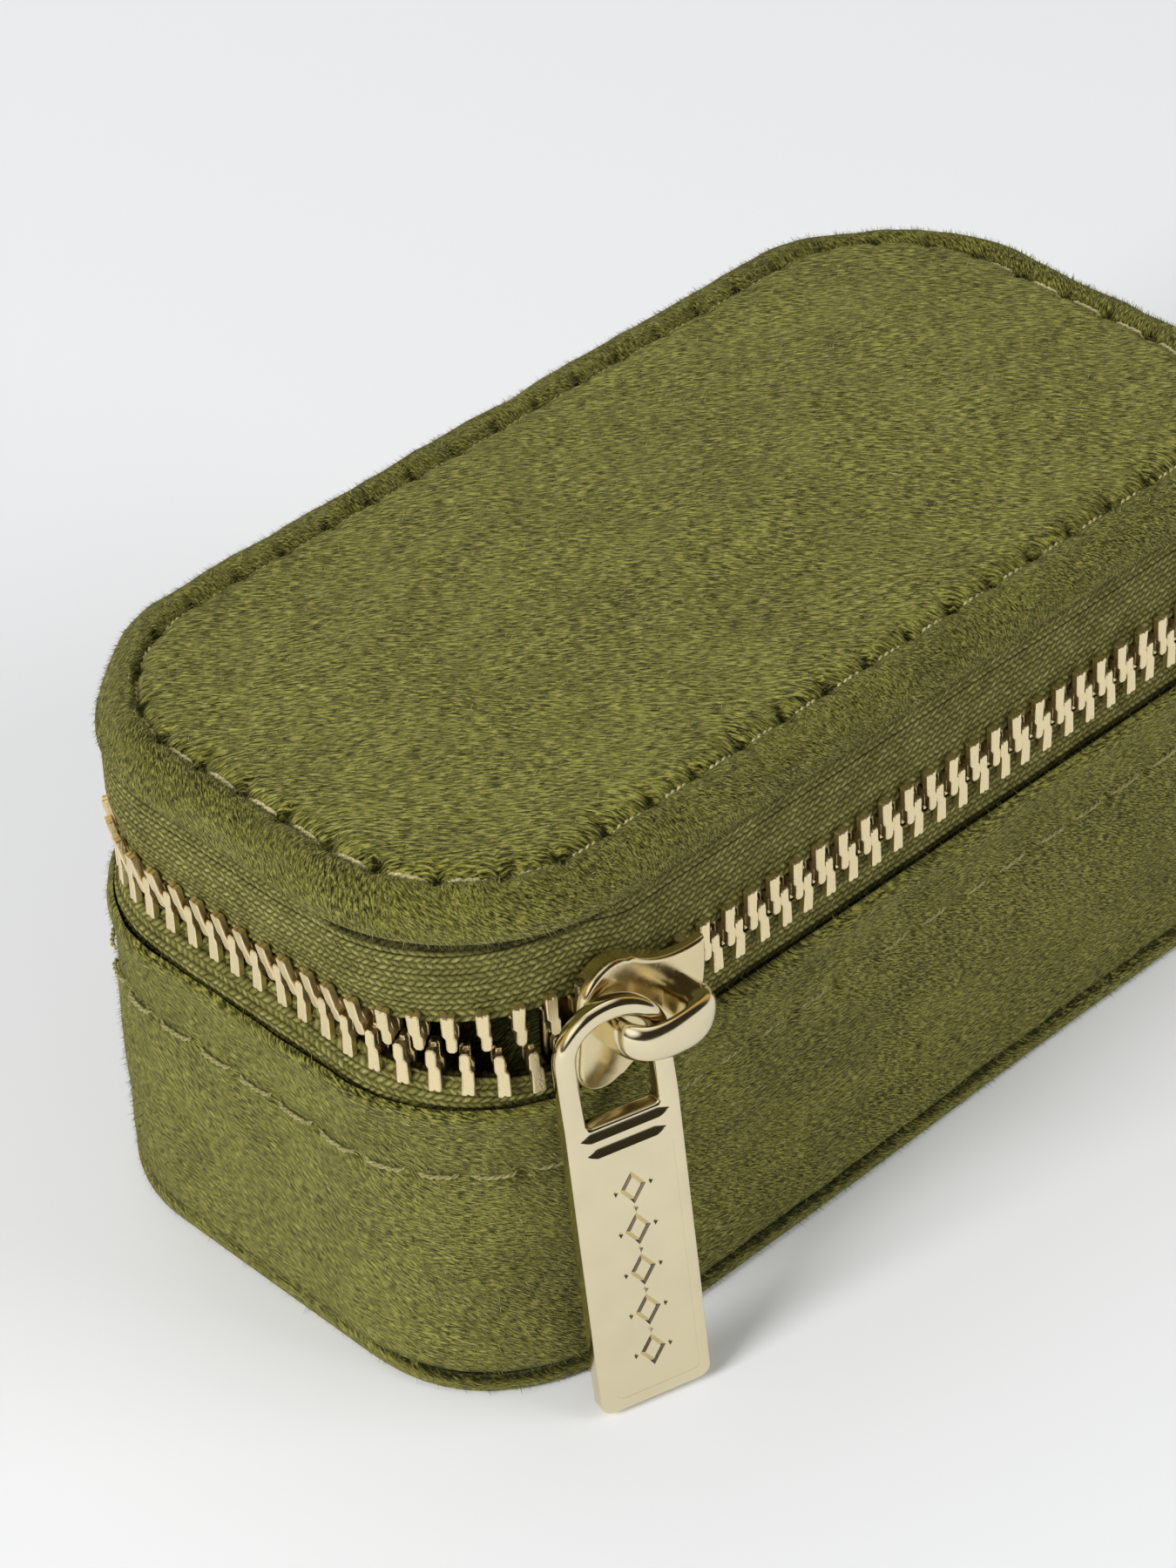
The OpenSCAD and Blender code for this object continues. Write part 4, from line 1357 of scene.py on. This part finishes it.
def area_light(name, place, size, power):
    """A round soft light aimed at the case, which the metal doesn't mirror."""
    data = bpy.data.lights.new(name, "AREA")
    data.shape, data.size, data.energy = "DISK", size, power
    obj = bpy.data.objects.new(name, data)
    obj.visible_glossy = False
    bpy.context.scene.collection.objects.link(obj)
    obj.location = place
    obj.rotation_euler = (Vector((0, 0, 0.02)) - Vector(place)).to_track_quat("-Z", "Y").to_euler()


def surroundings():
    """Even light on the cloth; a dark room with a bright ceiling, a bright window and an amber
    glow behind for the metal to mirror; plain pale grey behind the floor."""
    world = bpy.data.worlds.new("studio")
    bpy.context.scene.world = world
    g = Nodes(world)
    way = g.node("TexCoord", out="Generated")
    upwards = g.node("SeparateXYZ", {0: way}, "Z")
    ceiling = g.ramp(upwards, [(0.80, (0.035, 0.028, 0.018)), (0.95, (0.85, 0.85, 0.85))])
    towards_window = g.vector("DOT_PRODUCT", way, (-0.82, -0.06, 0.57), "Value")
    window = g.spread(towards_window, 0.86, 0.97, 0.0, 1.2)
    glow = g.spread(g.vector("DOT_PRODUCT", way, (0.3, 0.95, 0.0), "Value"), -0.1, 0.25, 0.0, 0.5)
    amber = g.vector("MULTIPLY", glow, (1.15, 0.78, 0.26))
    room = g.vector("ADD", g.vector("ADD", ceiling, window), amber)
    light = g.node("Background", {"Color": (0.9, 0.92, 0.95, 1), "Strength": 0.35})
    mirrored = g.node("Background", {"Color": room})
    backdrop = g.node("Background", {"Color": (0.87, 0.87, 0.87, 1)})
    glossy, seen = (g.node("LightPath", out=f"Is {ray} Ray") for ray in ("Glossy", "Camera"))
    both = g.node("MixShader", {0: glossy, 1: light, 2: mirrored})
    g.node("OutputWorld", {"Surface": g.node("MixShader", {0: seen, 1: both, 2: backdrop})})


def studio():
    """A plain pale floor, one broad light from the upper left and two soft ones."""
    half, level = 4.0 / MM, cad_low.z / MM - 0.05
    corners = [(x, y, level) for x, y in ((-half, -half), (half, -half), (half, half), (-half, half))]
    g = Graph("paper", Roughness=0.9, Specular_IOR_Level=0.1)
    grain = g.noise(g.solid(), 0.4, 2.0)
    paper = g.finish(g.ramp(grain, [(0.3, (0.89, 0.89, 0.89)), (0.7, (0.905, 0.905, 0.905))]))
    Shape().add(corners, [[0, 1, 2, 3]]).make("studio_floor", paper)
    area_light("key", (-1.42, -0.07, 0.87), 0.7, 24.5)
    area_light("back", (0.2, 0.8, 1.2), 1.0, 2.3)
    area_light("front_fill", (0.9, -1.4, 0.8), 1.2, 13.0)
    surroundings()
    bpy.context.scene.view_settings.view_transform = "Standard"


def camera():
    """The photograph's viewpoint."""
    azimuth, elevation, roll = (math.radians(a) for a in (-43.413, 38.386, -2.030))
    level = math.cos(elevation)
    back = Vector((math.sin(azimuth) * level, -math.cos(azimuth) * level, math.sin(elevation)))
    right = (-back).cross(Vector((0, 0, 1))).normalized()
    turned = right * math.cos(roll) + right.cross(-back) * math.sin(roll)
    data = bpy.data.cameras.new("camera")
    data.sensor_width, data.lens = 36.0, 120.7
    data.clip_start, data.clip_end = 0.01, 20.0
    obj = bpy.data.objects.new("camera", data)
    bpy.context.scene.collection.objects.link(obj)
    axes = Matrix((turned, back.cross(turned), back)).transposed()
    obj.matrix_world = Matrix.Translation((-0.25614, -0.25729, 0.31208)) @ axes.to_4x4()
    bpy.context.scene.camera = obj


build_pieces()
paint_carried_nodes()
studio()
camera()
